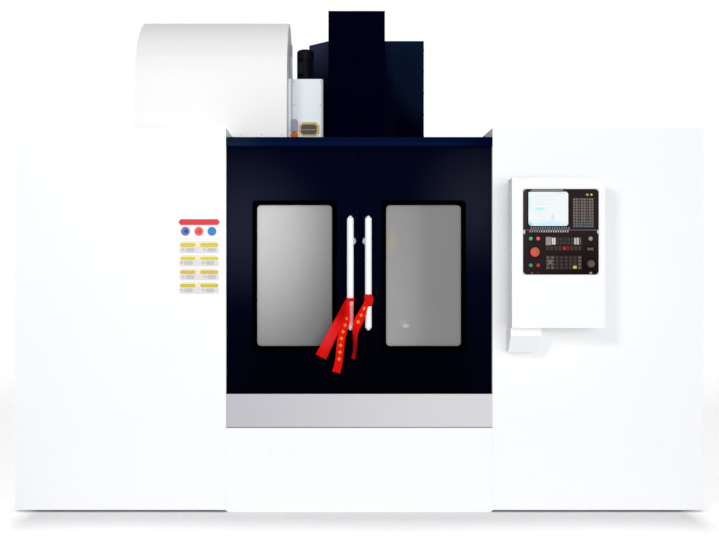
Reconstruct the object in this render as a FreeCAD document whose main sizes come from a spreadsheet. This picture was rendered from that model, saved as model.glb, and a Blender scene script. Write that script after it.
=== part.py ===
"""Vertical machining centre with sliding doors, as a parametric document in millimetres.

X runs to the operator's right, Y from the operator into the machine and Z up. The origin lies
on the floor, under the middle of the box that holds the whole machine.
"""
import FreeCAD, Part

import math
import os
import re

import Sketcher

# Driving sizes. Each one is set by itself; whatever meets it reads it from the sheet.
SIZES = {
    # enclosure
    "overall_width": 4130,
    "wing_front": 1220,
    "enclosure_back": 1000,
    "wing_rise": 54,
    "wing_ground_gap": 12,
    "sheet_thickness": 3,
    "fold_depth": 34,
    "roof_strip": 620,
    "wing_cheek_depth": 320,
    "doorway_width": 1600,
    "base_height": 504,
    "sill_height": 204,
    "header_height": 54,
    "header_depth": 90,
    # doors
    "door_height": 1488,
    "door_thickness": 40,
    "door_setback": 40,
    "door_overlap": 40,
    "door_gap": 3,
    "door_travel": 680,
    "guide_blade": 8,
    "guide_groove": 14,
    "groove_depth": 14,
    "window_inner": 163,
    "window_width": 453,
    "window_bottom": 993,
    "window_height": 851,
    "window_corner": 24,
    "seal_width": 28,
    "glass_thickness": 12,
    "glass_bite": 10,
    "handle_offset": 54,
    "handle_bottom": 1092,
    "handle_length": 684,
    "handle_radius": 20,
    "handle_reach": 55,
    "handle_bevel": 7,
    "boss_radius": 26,
    "hidden_boss_radius": 18,
    "boss_inset": 150,
    "boss_shift": 9,
    # tank
    "tank_depth": 160,
    "tank_clearance": 10,
    # bed, rails and screws
    "foot_height": 60,
    "foot_radius": 80,
    "bed_front": 1040,
    "bed_width": 1200,
    "bed_top_width": 900,
    "bed_height": 500,
    "bed_skirt": 120,
    "bed_slope": 150,
    "core_window_length": 360,
    "core_window_height": 170,
    "channel_width": 220,
    "channel_depth": 120,
    "bearing_wall": 30,
    "rail_width": 45,
    "rail_height": 45,
    "rail_waist": 30,
    "rail_running_gap": 0.5,
    "rail_spare": 10,
    "runner_wall": 28,
    "y_rail_spacing": 640,
    "x_rail_spacing": 440,
    "z_rail_spacing": 500,
    "screw_radius": 20,
    "journal_radius": 12,
    "screw_drop": 55,
    "running_gap": 0.05,
    "thread_gap": 0.08,
    "seat_gap": 0.3,
    "motor_width": 110,
    "motor_length": 130,
    "motor_flange": 12,
    # saddle and table
    "spindle_setback": 300,
    "saddle_length": 2300,
    "saddle_depth": 650,
    "saddle_height": 200,
    "saddle_clearance": 7,
    "saddle_waist": 1040,
    "saddle_tip": 112,
    "saddle_channel": 75,
    "cover_reach": 1700,
    "table_length": 1400,
    "table_depth": 700,
    "table_thickness": 130,
    "table_top": 1080,
    "table_foot_depth": 560,
    "slot_count": 5,
    "slot_pitch": 125,
    "slot_width": 18,
    "slot_neck": 30,
    "slot_root_width": 32,
    "slot_root_height": 14,
    # bellows
    "bellows_pitch": 58,
    "bellows_fold": 14,
    "bellows_wall": 3,
    "y_bellows_width": 1040,
    "y_bellows_height": 225,
    "x_bellows_width": 560,
    "x_bellows_height": 128,
    "z_bellows_width": 640,
    "z_bellows_depth": 66,
    # column
    "column_front": 480,
    "column_depth": 700,
    "column_width": 680,
    "column_foot_width": 900,
    "column_foot_rise": 590,
    "column_top": 3214,
    "column_shoulder": 36,
    "column_crown": 380,
    "recess_width": 260,
    "recess_depth": 160,
    "screw_inset": 80,
    "z_rail_bottom": 1250,
    "side_cover_width": 203,
    "side_cover_depth": 520,
    "side_cover_bottom": 2250,
    # head
    "head_width": 300,
    "head_reach": 240,
    "head_nose_height": 468,
    "head_back_height": 728,
    "nose_length": 47,
    "nose_radius": 64,
    "spindle_flange_radius": 88,
    "shaft_radius": 40,
    "shaft_length": 100,
    "taper_mouth_radius": 35,
    "taper_depth": 95,
    "carriage_width": 600,
    "carriage_thickness": 46,
    "head_cover_width": 376,
    "head_cover_reach": 260,
    "head_cover_depth": 680,
    "head_cover_bottom": 2300,
    "head_cover_top": 3177,
    "spindle_motor_width": 250,
    "spindle_motor_height": 440,
    # tool changer
    "arm_length": 335,
    "arm_thickness": 34,
    "arm_nose_gap": 9,
    "arm_bar_width": 76,
    "arm_hub_radius": 62,
    "jaw_outer_radius": 54,
    "jaw_inner_radius": 33,
    "arm_journal_radius": 25,
    "arm_shaft_radius": 35,
    "arm_drop": 140,
    "cam_box_right": 224,
    "cam_box_width": 215,
    "cam_box_front": 500,
    "cam_box_depth": 440,
    "cam_box_bottom": 2250,
    "cam_box_top": 2735,
    "cam_box_bevel": 14,
    "arm_motor_radius": 58,
    "arm_motor_flange": 66,
    "arm_motor_shift": 13,
    "arm_motor_height": 235,
    "sight_inset": 26,
    "sight_width": 133,
    "sight_height": 94,
    "sight_bottom": 2350,
    "sight_bevel": 22,
    "sight_proud": 6,
    "filler_inset": 24,
    "filler_radius": 24,
    "filler_length": 22,
    "breather_width": 46,
    "breather_height": 86,
    "breather_depth": 16,
    "breather_round": 14,
    # tool magazine
    "drum_height": 2640,
    "drum_radius": 500,
    "drum_left": 1430,
    "drum_right": 455,
    "drum_skirt_bottom": 2290,
    "beam_width": 106,
    "beam_bottom": 2520,
    "beam_height": 220,
    "disc_radius": 385,
    "disc_thickness": 30,
    "disc_hub_radius": 70,
    "disc_shaft_radius": 32,
    "pot_circle": 360,
    "pot_count": 16,
    "pot_radius": 45,
    "pot_bore_radius": 30,
    "pot_bore_depth": 85,
    "pot_reach": 125,
    "pot_heel": 16,
    "pot_pin_radius": 8,
    "pot_notch": 100,
    # operator's station
    "station_inset": 75,
    "station_width": 537,
    "station_bottom": 1117.3,
    "station_height": 866,
    "station_gap": 30,
    "station_depth": 200,
    "station_top_depth": 120,
    "station_knee": 583,
    "station_bevel": 70,
    "panel_inset": 64,
    "panel_width": 435,
    "panel_bottom": 1426,
    "panel_height": 493,
    "panel_split": 1683,
    "panel_proud": 6,
    "key_width": 19,
    "key_height": 15,
    "key_proud": 3,
    "key_pitch_x": 27,
    "key_pitch_z": 24,
    "knob_radius": 22,
    "knob_proud": 22,
    "button_radius": 11,
    "button_proud": 9,
    "button_stem": 12,
    "stop_radius": 27,
    "stop_collar_radius": 29,
    "stop_proud": 30,
    "bracket_inset": 2,
    "bracket_width": 178,
    "bracket_height": 149,
    "bracket_reach": 180,
    "swivel_inset": 90,
    "swivel_setback": 120,
    "swivel_pin_radius": 25,
    "swivel_pin_length": 76,
    # notice plate
    "notice_inset": 284,
    "notice_width": 247,
    "notice_bottom": 1302,
    "notice_height": 456,
    "notice_thickness": 2,
    # electrical cabinet
    "cabinet_width": 900,
    "cabinet_bottom": 400,
    "cabinet_height": 1700,
    "cabinet_depth": 246,
    "cabinet_wall": 10,
    "cabinet_door_thickness": 20,
    "switch_radius": 30,
    "switch_proud": 40,
    # ribbons
    "ribbon_width": 66,
    "ribbon_thickness": 4,
    "knot_height": 1294,
    "knot_radius": 27,
    "knot_length": 40,
}

# Places worked out from the sizes above, in the order in which they build on each other.
PLACES = {
    "half_width": "overall_width / 2",
    "front": "-wing_front",
    "doorway_half": "doorway_width / 2",
    "sill_top": "base_height + sill_height",
    "door_top": "sill_top + door_height",
    "header_top": "door_top + header_height",
    "wing_top": "header_top + wing_rise",
    "door_face": "front + door_setback",
    "door_back": "door_face + door_thickness",
    "door_middle": "door_face + door_thickness / 2",
    "guide_half": "doorway_half + door_overlap + door_travel + 40",
    "window_left": "window_inner - seal_width",
    "window_right": "window_inner + window_width + seal_width",
    "window_top": "window_bottom + window_height",
    "handle_top": "handle_bottom + handle_length",
    "handle_axis": "door_face - handle_reach",
    "spindle_y": "-spindle_setback",
    "bed_top": "foot_height + bed_height",
    "rail_top": "bed_top + rail_height",
    "y_screw_z": "bed_top - screw_drop",
    "saddle_bottom": "rail_top + saddle_clearance",
    "saddle_top": "saddle_bottom + saddle_height",
    "saddle_front": "spindle_y - saddle_depth / 2",
    "saddle_back": "spindle_y + saddle_depth / 2",
    "x_screw_z": "saddle_top - screw_radius - 7",
    "table_bottom": "table_top - table_thickness",
    "slot_floor": "table_top - slot_neck - slot_root_height",
    "table_foot": "saddle_top + rail_height + saddle_clearance",
    "y_cover_front": "door_back + 10",
    "column_back": "column_front + column_depth",
    "z_screw_y": "column_front + screw_inset",
    "z_motor_foot": "column_top - motor_length - 56",
    "z_cover_bottom": "bed_top + y_bellows_height + 15",
    "pot_z": "drum_height - pot_circle",
    "nose_z": "pot_z - pot_reach",
    "head_bottom": "nose_z + nose_length",
    "head_front": "spindle_y - head_reach",
    "head_half": "head_width / 2",
    "motor_seat": "head_bottom + head_nose_height",
    "carriage_front": "column_front - rail_height - saddle_clearance - carriage_thickness",
    "carriage_back": "carriage_front + carriage_thickness",
    "arm_x": "-arm_length",
    "disc_x": "-2 * arm_length",
    "arm_top": "nose_z - arm_nose_gap",
    "cam_box_left": "-(cam_box_right + cam_box_width)",
    "beam_left": "cam_box_left - beam_width",
    "beam_top": "beam_bottom + beam_height",
    "station_left": "doorway_half + station_inset",
    "panel_left": "station_left + panel_inset",
    "bracket_left": "station_left + bracket_inset",
    "swivel_x": "station_left + swivel_inset",
    "notice_left": "doorway_half + notice_inset",
    "station_back": "front - station_gap",
    "station_front": "station_back - station_depth",
    "station_top": "station_bottom + station_height",
    "panel_face": "station_front - panel_proud",
    "panel_right": "panel_left + panel_width",
    "panel_top": "panel_bottom + panel_height",
    "swivel_y": "front - swivel_setback",
    "cabinet_front": "column_back",
    "cabinet_mouth": "column_back + cabinet_depth",
    "cabinet_top": "cabinet_bottom + cabinet_height",
    "hinge_y": "cabinet_mouth + cabinet_door_thickness / 2",
    "hinge_x": "-cabinet_width / 2",
}

WORD = re.compile(r"[A-Za-z_][A-Za-z_0-9]*")
DOCUMENT = FreeCAD.newDocument("MachiningCentre")
PIECES = []


def linked(text):
    """Return an expression in which each size or place is named with its sheet."""
    def with_sheet(match):
        word = match.group(0)
        if word in SIZES:
            return "Sizes." + word
        if word in PLACES:
            return "Places." + word
        return word
    return WORD.sub(with_sheet, str(text))


def write_sheet(name, rows, formulas):
    """Fill a spreadsheet with one named value on each row."""
    sheet = DOCUMENT.addObject("Spreadsheet::Sheet", name)
    for row, (alias, content) in enumerate(rows.items(), start=1):
        sheet.set(f"A{row}", alias)
        sheet.set(f"B{row}", "=" + linked(content) if formulas else str(content))
        sheet.setAlias(f"B{row}", alias)
    DOCUMENT.recompute()
    return sheet


SIZES_SHEET = write_sheet("Sizes", SIZES, formulas=False)
PLACES_SHEET = write_sheet("Places", PLACES, formulas=True)


def size(alias):
    """Return the present number of a size or a place."""
    sheet = SIZES_SHEET if alias in SIZES else PLACES_SHEET
    return float(getattr(sheet, alias))


def keep(node, piece):
    """Name a finished sub-part and put it on the list that is written out."""
    piece.Label = node
    PIECES.append(piece)
    return piece


def place(piece, spot, axis=None, angle=0):
    """Bind a piece's position to three expressions, after an optional fixed turn."""
    if axis is not None:
        piece.Placement = FreeCAD.Placement(FreeCAD.Vector(), FreeCAD.Rotation(axis, angle))
    for letter, text in zip("xyz", spot):
        piece.setExpression(f".Placement.Base.{letter}", linked(text))
    return piece


def block(name, low, high):
    """Make a box between two corners."""
    box = DOCUMENT.addObject("Part::Box", name)
    for side, start, end in zip(("Length", "Width", "Height"), low, high):
        box.setExpression(side, linked(f"({end}) - ({start})"))
    return place(box, low)


TURNS = {
    "+X": (FreeCAD.Vector(0, 1, 0), 90),
    "-X": (FreeCAD.Vector(0, 1, 0), -90),
    "+Y": (FreeCAD.Vector(1, 0, 0), -90),
    "-Y": (FreeCAD.Vector(1, 0, 0), 90),
    "+Z": (FreeCAD.Vector(0, 0, 1), 0),
    "-Z": (FreeCAD.Vector(1, 0, 0), 180),
}


def rod(name, foot, direction, radius, length):
    """Make a cylinder from a foot point along one of the six directions."""
    cylinder = DOCUMENT.addObject("Part::Cylinder", name)
    cylinder.setExpression("Radius", linked(radius))
    cylinder.setExpression("Height", linked(length))
    return place(cylinder, foot, *TURNS[direction])


def draw_outline(sketch, outline):
    """Draw a closed outline of straight sides and tie every corner to its expressions."""
    count = len(outline)
    start_radius = 100.0
    corners = []
    for index in range(count):
        turn = 2 * math.pi * index / count
        corners.append(FreeCAD.Vector(math.cos(turn), math.sin(turn), 0) * start_radius)
    sides = [Part.LineSegment(corners[i], corners[(i + 1) % count]) for i in range(count)]
    sketch.addGeometry(sides, False)
    ties = [Sketcher.Constraint("Coincident", i, 2, (i + 1) % count, 1) for i in range(count)]
    for index, corner in enumerate(corners):
        ties.append(Sketcher.Constraint("DistanceX", -1, 1, index, 1, corner.x))
        ties.append(Sketcher.Constraint("DistanceY", -1, 1, index, 1, corner.y))
    sketch.addConstraint(ties)
    for index, (across, up) in enumerate(outline):
        sketch.setExpression(f"Constraints[{count + 2 * index}]", linked(across))
        sketch.setExpression(f"Constraints[{count + 2 * index + 1}]", linked(up))


def sketch_on(body, role, name):
    """Start a sketch on one of a body's origin planes."""
    plane = next(item for item in body.Origin.OriginFeatures if item.Role == role)
    sketch = body.newObject("Sketcher::SketchObject", name)
    sketch.AttachmentSupport = (plane, [""])
    sketch.MapMode = "FlatFace"
    return sketch


def prism(name, plane, outline, start, end):
    """Pad an outline in the XY, XZ or YZ plane from one distance to another along the third axis."""
    body = DOCUMENT.addObject("PartDesign::Body", name)
    sketch = sketch_on(body, plane + "_Plane", name + "_outline")
    draw_outline(sketch, outline)
    backward = plane == "XZ"
    offset = f"-({start})" if backward else start
    sketch.setExpression(".AttachmentOffset.Base.z", linked(offset))
    pad = body.newObject("PartDesign::Pad", name + "_pad")
    pad.Profile = sketch
    pad.Reversed = backward
    pad.setExpression("Length", linked(f"({end}) - ({start})"))
    return body


def box_outline(left, bottom, right, top):
    """Return the four corners of a rectangle."""
    return [(left, bottom), (right, bottom), (right, top), (left, top)]


def soften(body, radius, direction, feature="Fillet", wanted=None):
    """Round or bevel the body's straight edges that run in one direction."""
    DOCUMENT.recompute()
    base = body.Tip
    names = []
    for index, edge in enumerate(base.Shape.Edges, start=1):
        along = edge.tangentAt(edge.FirstParameter)
        straight = edge.Curve.TypeId == "Part::GeomLine"
        if straight and abs(along.dot(direction)) > 0.999:
            if wanted is None or wanted(edge.CenterOfMass):
                names.append(f"Edge{index}")
    dressing = body.newObject("PartDesign::" + feature, body.Name + "_" + feature.lower())
    dressing.Base = (base, names)
    dressing.setExpression("Radius" if feature == "Fillet" else "Size", linked(radius))
    return body


ALONG_X = FreeCAD.Vector(1, 0, 0)
ALONG_Y = FreeCAD.Vector(0, 1, 0)
ALONG_Z = FreeCAD.Vector(0, 0, 1)


def turned(name, profile, spot, direction):
    """Turn a half profile of (radius, distance) points about a line from a spot."""
    body = DOCUMENT.addObject("PartDesign::Body", name)
    sketch = sketch_on(body, "XZ_Plane", name + "_profile")
    draw_outline(sketch, profile)
    turning = body.newObject("PartDesign::Revolution", name + "_turned")
    turning.Profile = sketch
    turning.ReferenceAxis = (sketch, ["V_Axis"])
    turning.Angle = 360
    return place(body, spot, *TURNS[direction])


def fuse(name, parts):
    """Join parts into one solid."""
    joined = DOCUMENT.addObject("Part::MultiFuse", name)
    joined.Shapes = parts
    joined.Refine = True
    return joined


def cut(name, base, tools):
    """Take tools away from a base."""
    tool = tools[0] if len(tools) == 1 else fuse(name + "_tools", tools)
    carved = DOCUMENT.addObject("Part::Cut", name)
    carved.Base = base
    carved.Tool = tool
    return carved


def group(name, parts):
    """Hold like pieces together as separate solids."""
    together = DOCUMENT.addObject("Part::Compound", name)
    together.Links = parts
    return together


def mirrored(name, source, normal=ALONG_X):
    """Mirror a piece through the origin."""
    twin = DOCUMENT.addObject("Part::Mirroring", name)
    twin.Source = source
    twin.Normal = normal
    return twin


def rail_outline(across, base, upward=True):
    """Return the section of a profile rail: base, waist and head."""
    sign = "+" if upward else "-"
    half = "rail_width / 2"
    waist = "rail_waist / 2"
    levels = [f"{base}", f"{base} {sign} rail_height * 0.3", f"{base} {sign} rail_height * 0.7",
              f"{base} {sign} rail_height"]
    right = [(half, levels[0]), (half, levels[1] + f" {sign} -3"), (waist, levels[1]),
             (waist, levels[2]), (half, levels[2] + f" {sign} 3"), (half, levels[3])]
    points = [(f"{across} + {out}", level) for out, level in right]
    points += [(f"{across} - {out}", level) for out, level in reversed(right)]
    return points


def runner_outline(across, mouth, roof, back):
    """Return the section of a runner block that reaches over a rail."""
    outer = "(rail_width / 2 + runner_wall)"
    inner = "(rail_width / 2 + rail_running_gap)"
    return [(f"{across} - {outer}", mouth), (f"{across} - {inner}", mouth),
            (f"{across} - {inner}", roof), (f"{across} + {inner}", roof),
            (f"{across} + {inner}", mouth), (f"{across} + {outer}", mouth),
            (f"{across} + {outer}", back), (f"{across} - {outer}", back)]


# ---------------------------------------------------------------- bed, column and drives

def make_bed():
    """Cast bed with a sloped skirt, core windows and the channel for the Y screw."""
    half = "bed_width / 2"
    top_half = "bed_top_width / 2"
    skirt = "foot_height + bed_skirt"
    slope = "foot_height + bed_skirt + bed_slope"
    outline = [("-" + half, "foot_height"), (half, "foot_height"), (half, skirt), (top_half, slope),
               (top_half, "bed_top"), ("-" + top_half, "bed_top"), ("-" + top_half, slope),
               ("-" + half, skirt)]
    casting = prism("bed_casting", "XZ", outline, "-bed_front", "column_back")
    channel = block("bed_channel",
                    ("-channel_width / 2", "-bed_front + bearing_wall", "bed_top - channel_depth"),
                    ("channel_width / 2", "column_front + recess_depth", "bed_top + 1"))
    journal = rod("bed_journal_bore", ("0", "-bed_front - 1", "y_screw_z"), "+Y",
                  "journal_radius + running_gap", "bearing_wall + 2")
    windows = []
    for index, shift in enumerate((0.16, 0.42, 0.68)):
        start = f"-bed_front + {shift} * (column_back + bed_front)"
        windows.append(block(f"bed_window_{index}",
                             (f"-{half} - 1", start, "foot_height + 60"),
                             (f"{half} + 1", f"{start} + core_window_length",
                              "foot_height + 60 + core_window_height")))
    cored = cut("bed_cored", casting, [channel, journal] + windows)
    ledge = block("cover_ledge", ("-bed_top_width / 2", "y_cover_front", "bed_top - 40"),
                  ("bed_top_width / 2", "-bed_front + 1", "bed_top"))
    stop = block("cover_stop", ("-y_bellows_width / 2", "y_cover_front", "bed_top - 20"),
                 ("y_bellows_width / 2", "y_cover_front + 6", "bed_top + y_bellows_height + 4"))
    keep("machine_bed", fuse("bed", [cored, ledge, stop]))

    feet = []
    for side in (-1, 1):
        for index, where in enumerate(("-bed_front + 120", "(column_back - bed_front) / 2",
                                       "column_back - 120")):
            foot = DOCUMENT.addObject("Part::Cone", f"foot_{index}")
            foot.setExpression("Radius1", linked("foot_radius"))
            foot.setExpression("Radius2", linked("foot_radius * 0.55"))
            foot.setExpression("Height", linked("foot_height"))
            feet.append(place(foot, (f"{side} * (bed_width / 2 - foot_radius)", where, "0")))
    keep("levelling_feet", group("feet", feet))


def make_column():
    """Column with a splayed foot, one sloped shoulder, a screw recess and cored sides."""
    foot = "column_foot_width / 2"
    half = "column_width / 2"
    crown = "column_crown / 2"
    knee = "bed_top + column_foot_rise"
    shoulder = "column_top - column_shoulder"
    outline = [("-" + foot, "bed_top"), (foot, "bed_top"), (half, knee), (half, "column_top"),
               ("-" + crown, "column_top"), ("-" + half, shoulder), ("-" + half, knee)]
    casting = prism("column_casting", "XZ", outline, "column_front", "column_back")
    recess = block("column_recess",
                   ("-recess_width / 2", "column_front - 1", "bed_top - 1"),
                   ("recess_width / 2", "column_front + recess_depth", "column_top - 20"))
    hollows = []
    for side in (-1, 1):
        for level in (0, 1):
            low = f"{knee} + 150 + {level} * 850"
            hollows.append(block(
                f"column_side_core_{level}",
                (f"{side} * {half} - 30", "column_front + 160", low),
                (f"{side} * {half} + 30", "column_back - 160", f"{low} + 700")))
    hollow_column = cut("column_cored", casting, [recess] + hollows)
    bearing_block = block("z_bearing_block",
                          ("-60", "column_front + 20", "z_rail_bottom"),
                          ("60", "column_front + recess_depth", "z_rail_bottom + bearing_wall"))
    bearing = cut("z_bearing", bearing_block,
                  [rod("z_journal_bore", ("0", "z_screw_y", "z_rail_bottom - 1"), "+Z",
                       "journal_radius + running_gap", "bearing_wall + 2")])
    stop = block("z_cover_stop", ("-z_bellows_width / 2", "column_front - z_bellows_depth - 1",
                                  "z_cover_bottom - 6"),
                 ("z_bellows_width / 2", "column_front + 1", "z_cover_bottom"))
    keep("column", fuse("column_body", [hollow_column, bearing, stop]))

    far = "column_width / 2 + side_cover_width"
    cover = prism("side_cover", "XY",
                  [("column_width / 2", "column_front"), (far, "column_front"),
                   (far, "column_front + side_cover_depth"),
                   ("column_width / 2", "column_front + side_cover_depth")],
                  "side_cover_bottom", "column_top")
    keep("column_side_cover", soften(cover, "8", ALONG_Z, "Chamfer", lambda at: at.x > size("column_width")
                                     / 2 + 1))


def make_rails():
    """Profile rails of the Y and Z axes, fixed to the bed and the column."""
    rails = []
    for side in (-1, 1):
        across = f"{side} * y_rail_spacing / 2"
        rails.append(prism("y_rail", "XZ", rail_outline(across, "bed_top"),
                           "-bed_front + 5", "column_front - 5"))
    for side in (-1, 1):
        across = f"{side} * z_rail_spacing / 2"
        rails.append(prism("z_rail", "XY", rail_outline(across, "column_front", upward=False),
                           "z_rail_bottom", "head_bottom + head_back_height + rail_spare"))
    keep("guide_rails", group("rails", rails))


def make_axis_motors():
    """Servo motors of the Y and Z screws, each on a flange that fills its channel."""
    half = "motor_width / 2"
    y_flange = block("y_motor_flange",
                     ("-channel_width / 2", "column_front + 15", "bed_top - channel_depth"),
                     ("channel_width / 2", "column_front + 15 + motor_flange", "bed_top"))
    y_case = prism("y_motor_case", "XZ",
                   box_outline("-" + half, f"y_screw_z - {half}", half, f"y_screw_z + {half}"),
                   "column_front + 15 + motor_flange", "column_front + 15 + motor_length")
    y_case = soften(y_case, "14", ALONG_Y)
    z_flange = block("z_motor_flange",
                     ("-recess_width / 2", "column_front + 20", "z_motor_foot"),
                     ("recess_width / 2", "column_front + recess_depth", "z_motor_foot + motor_flange"))
    z_case = prism("z_motor_case", "XY",
                   box_outline("-" + half, f"z_screw_y - {half}", half, f"z_screw_y + {half}"),
                   "z_motor_foot + motor_flange", "z_motor_foot + motor_length")
    z_case = soften(z_case, "14", ALONG_Z)
    motors = [fuse("y_motor", [y_flange, y_case]), fuse("z_motor", [z_flange, z_case])]
    keep("axis_motors", group("motors", motors))


def screw_profile(length, far_journal):
    """Return the half profile of a ball screw with a journal at its foot and perhaps at its far end."""
    neck = "bearing_wall + 1"
    points = [("0", "0"), ("journal_radius", "0"), ("journal_radius", neck), ("screw_radius", neck)]
    if far_journal:
        points += [("screw_radius", f"{length} - ({neck})"), ("journal_radius", f"{length} - ({neck})"),
                   ("journal_radius", length), ("0", length)]
    else:
        points += [("screw_radius", length), ("0", length)]
    return points


def make_screws():
    """Ball screws of the three axes, each running in its bearing bore."""
    y_length = "bed_front + column_front + 15 - seat_gap"
    keep("y_ball_screw", turned("y_screw", screw_profile(f"({y_length})", False),
                                ("0", "-bed_front", "y_screw_z"), "+Y"))
    z_length = "z_motor_foot - z_rail_bottom - seat_gap"
    keep("z_ball_screw", turned("z_screw", screw_profile(f"({z_length})", False),
                                ("0", "z_screw_y", "z_rail_bottom"), "+Z"))
    x_length = "saddle_length - seat_gap"
    keep("x_ball_screw", turned("x_screw", screw_profile(f"({x_length})", True),
                                ("-saddle_length / 2 + seat_gap", "spindle_y", "x_screw_z"), "+X"))


# ---------------------------------------------------------------- saddle and table

def nut_block(name, low, high, foot, direction, length):
    """Make a block with a bore for a ball screw."""
    bore = rod(name + "_bore", foot, direction, "screw_radius + thread_gap", length)
    return cut(name + "_bored", block(name, low, high), [bore])


def make_saddle():
    """Saddle with tapered arms, runners on the Y rails and brackets for the X bellows."""
    half = "saddle_length / 2"
    waist = "saddle_waist / 2"
    tip = "saddle_top - saddle_tip"
    outline = [("-" + half, tip), ("-" + waist, "saddle_bottom"), (waist, "saddle_bottom"),
               (half, tip), (half, "saddle_top"), ("-" + half, "saddle_top")]
    casting = prism("saddle_casting", "XZ", outline, "saddle_front", "saddle_back")
    channel = block("saddle_channel",
                    (f"-{half} + bearing_wall", "spindle_y - 60", "saddle_top - saddle_channel"),
                    (f"{half} - bearing_wall", "spindle_y + 60", "saddle_top + 1"))
    journal = rod("saddle_journal_bore", (f"-{half} - 1", "spindle_y", "x_screw_z"), "+X",
                  "journal_radius + running_gap", "saddle_length + 2")
    parts = [cut("saddle_cored", casting, [channel, journal])]
    for side in (-1, 1):
        outline = runner_outline(f"{side} * y_rail_spacing / 2", "bed_top + 10",
                                 "rail_top + rail_running_gap", "saddle_bottom + 1")
        parts.append(prism("y_runner", "XZ", outline, "saddle_front + 25", "saddle_back - 25"))
    parts.append(nut_block("y_nut", ("-48", "spindle_y - 55", "y_screw_z - 48"),
                           ("48", "spindle_y + 55", "saddle_bottom + 1"),
                           ("0", "spindle_y - 60", "y_screw_z"), "+Y", "120"))
    bracket_half = "x_bellows_width / 2"
    for side in (-1, 1):
        for rank in (-1, 1):
            bar = f"spindle_y + {rank} * ({bracket_half} - 12)"
            ends = [f"{side} * ({half} - 1)", f"{side} * (cover_reach - 6)"]
            if side < 0:
                ends.reverse()
            parts.append(block("cover_arm", (ends[0], f"{bar} - 10", "saddle_top - 40"),
                               (ends[1], f"{bar} + 10", "saddle_top")))
        plate = [f"{side} * (cover_reach - 6)", f"{side} * cover_reach"]
        if side < 0:
            plate.reverse()
        parts.append(block("cover_plate",
                           (plate[0], f"spindle_y - {bracket_half}", "saddle_top - 40"),
                           (plate[1], f"spindle_y + {bracket_half}", "saddle_top + x_bellows_height + 1")))
    keep("saddle", fuse("saddle_body", parts))

    rails = []
    for side in (-1, 1):
        across = f"spindle_y + {side} * x_rail_spacing / 2"
        rails.append(prism("x_rail", "YZ", rail_outline(across, "saddle_top"),
                           f"-{half} + 5", f"{half} - 5"))
    keep("x_guide_rails", group("x_rails", rails))

    motor_half = "motor_width / 2"
    case = prism("x_motor_case", "YZ",
                 box_outline(f"spindle_y - {motor_half}", f"x_screw_z - {motor_half}",
                             f"spindle_y + {motor_half}", f"x_screw_z + {motor_half}"),
                 f"-{half} - motor_length", f"-{half}")
    keep("x_axis_motor", soften(case, "14", ALONG_X))


def slot_bars():
    """Return the cross sections of the bars that stand between the table's T-slots."""
    mouth = "slot_width / 2"
    wide = "slot_root_width / 2"
    neck = "table_top - slot_neck"
    count = int(size("slot_count"))
    middles = [f"spindle_y + ((slot_count - 1) / 2 - {index}) * slot_pitch" for index in range(count)]
    back_sides = [[("spindle_y + table_depth / 2", "slot_floor"),
                   ("spindle_y + table_depth / 2", "table_top")]]
    front_sides = []
    for middle in middles:
        front_sides.append([(f"{middle} + {mouth}", "table_top"), (f"{middle} + {mouth}", neck),
                            (f"{middle} + {wide}", neck), (f"{middle} + {wide}", "slot_floor")])
        back_sides.append([(f"{middle} - {wide}", "slot_floor"), (f"{middle} - {wide}", neck),
                           (f"{middle} - {mouth}", neck), (f"{middle} - {mouth}", "table_top")])
    front_sides.append([("spindle_y - table_depth / 2", "table_top"),
                        ("spindle_y - table_depth / 2", "slot_floor")])
    return [back + front for back, front in zip(back_sides, front_sides)]


def make_table():
    """Work table on runners over the X rails, and its slotted top."""
    half = "table_length / 2"
    foot_half = "table_foot_depth / 2"
    parts = [block("table_slab", ("-" + half, "spindle_y - table_depth / 2", "table_bottom"),
                   (half, "spindle_y + table_depth / 2", "slot_floor"))]
    parts.append(block("table_foot_block",
                       (f"-{half}", f"spindle_y - {foot_half}", "table_foot"),
                       (half, f"spindle_y + {foot_half}", "table_bottom")))
    for side in (-1, 1):
        outline = runner_outline(f"spindle_y + {side} * x_rail_spacing / 2", "saddle_top + 10",
                                 "saddle_top + rail_height + rail_running_gap", "table_foot + 1")
        parts.append(prism("x_runner", "YZ", outline, f"-{half} + 90", f"{half} - 90"))
    parts.append(nut_block("x_nut", ("-70", "spindle_y - 45", "x_screw_z - 40"),
                           ("70", "spindle_y + 45", "table_foot + 1"),
                           ("-80", "spindle_y", "x_screw_z"), "+X", "160"))
    keep("work_table", fuse("table_body", parts))
    bars = [prism("slot_bar", "YZ", outline, "-" + half, half) for outline in slot_bars()]
    keep("slotted_table_top", group("slot_bars", bars))


# ---------------------------------------------------------------- bellows

def arch_section(width, height, shrink):
    """Return a flat arch, open below, as corner points (across, up)."""
    half = width / 2 - shrink
    top = height - shrink
    wall = size("bellows_wall")
    return [(-half, 0), (-half, top), (half, top), (half, 0), (half - wall, 0),
            (half - wall, top - wall), (-half + wall, top - wall), (-half + wall, 0)]


def bellows_shape(start, end, width, height, to_space):
    """Build a folded cover from flat faces between arches that step in and out along its length."""
    folds = max(2, round(abs(end - start) / size("bellows_pitch")))
    rings = []
    for index in range(2 * folds + 1):
        along = start + (end - start) * index / (2 * folds)
        shrink = 0 if index % 2 else size("bellows_fold")
        rings.append([to_space(across, up, along)
                      for across, up in arch_section(width, height, shrink)])
    outlines = [rings[0], rings[-1]]
    for near, far in zip(rings, rings[1:]):
        for here in range(len(near)):
            there = (here + 1) % len(near)
            outlines.append([near[here], near[there], far[there], far[here]])
    faces = [Part.Face(Part.makePolygon(outline + outline[:1])) for outline in outlines]
    solid = Part.Solid(Part.makeShell(faces))
    if solid.Volume < 0:
        solid.reverse()
    return solid


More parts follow.
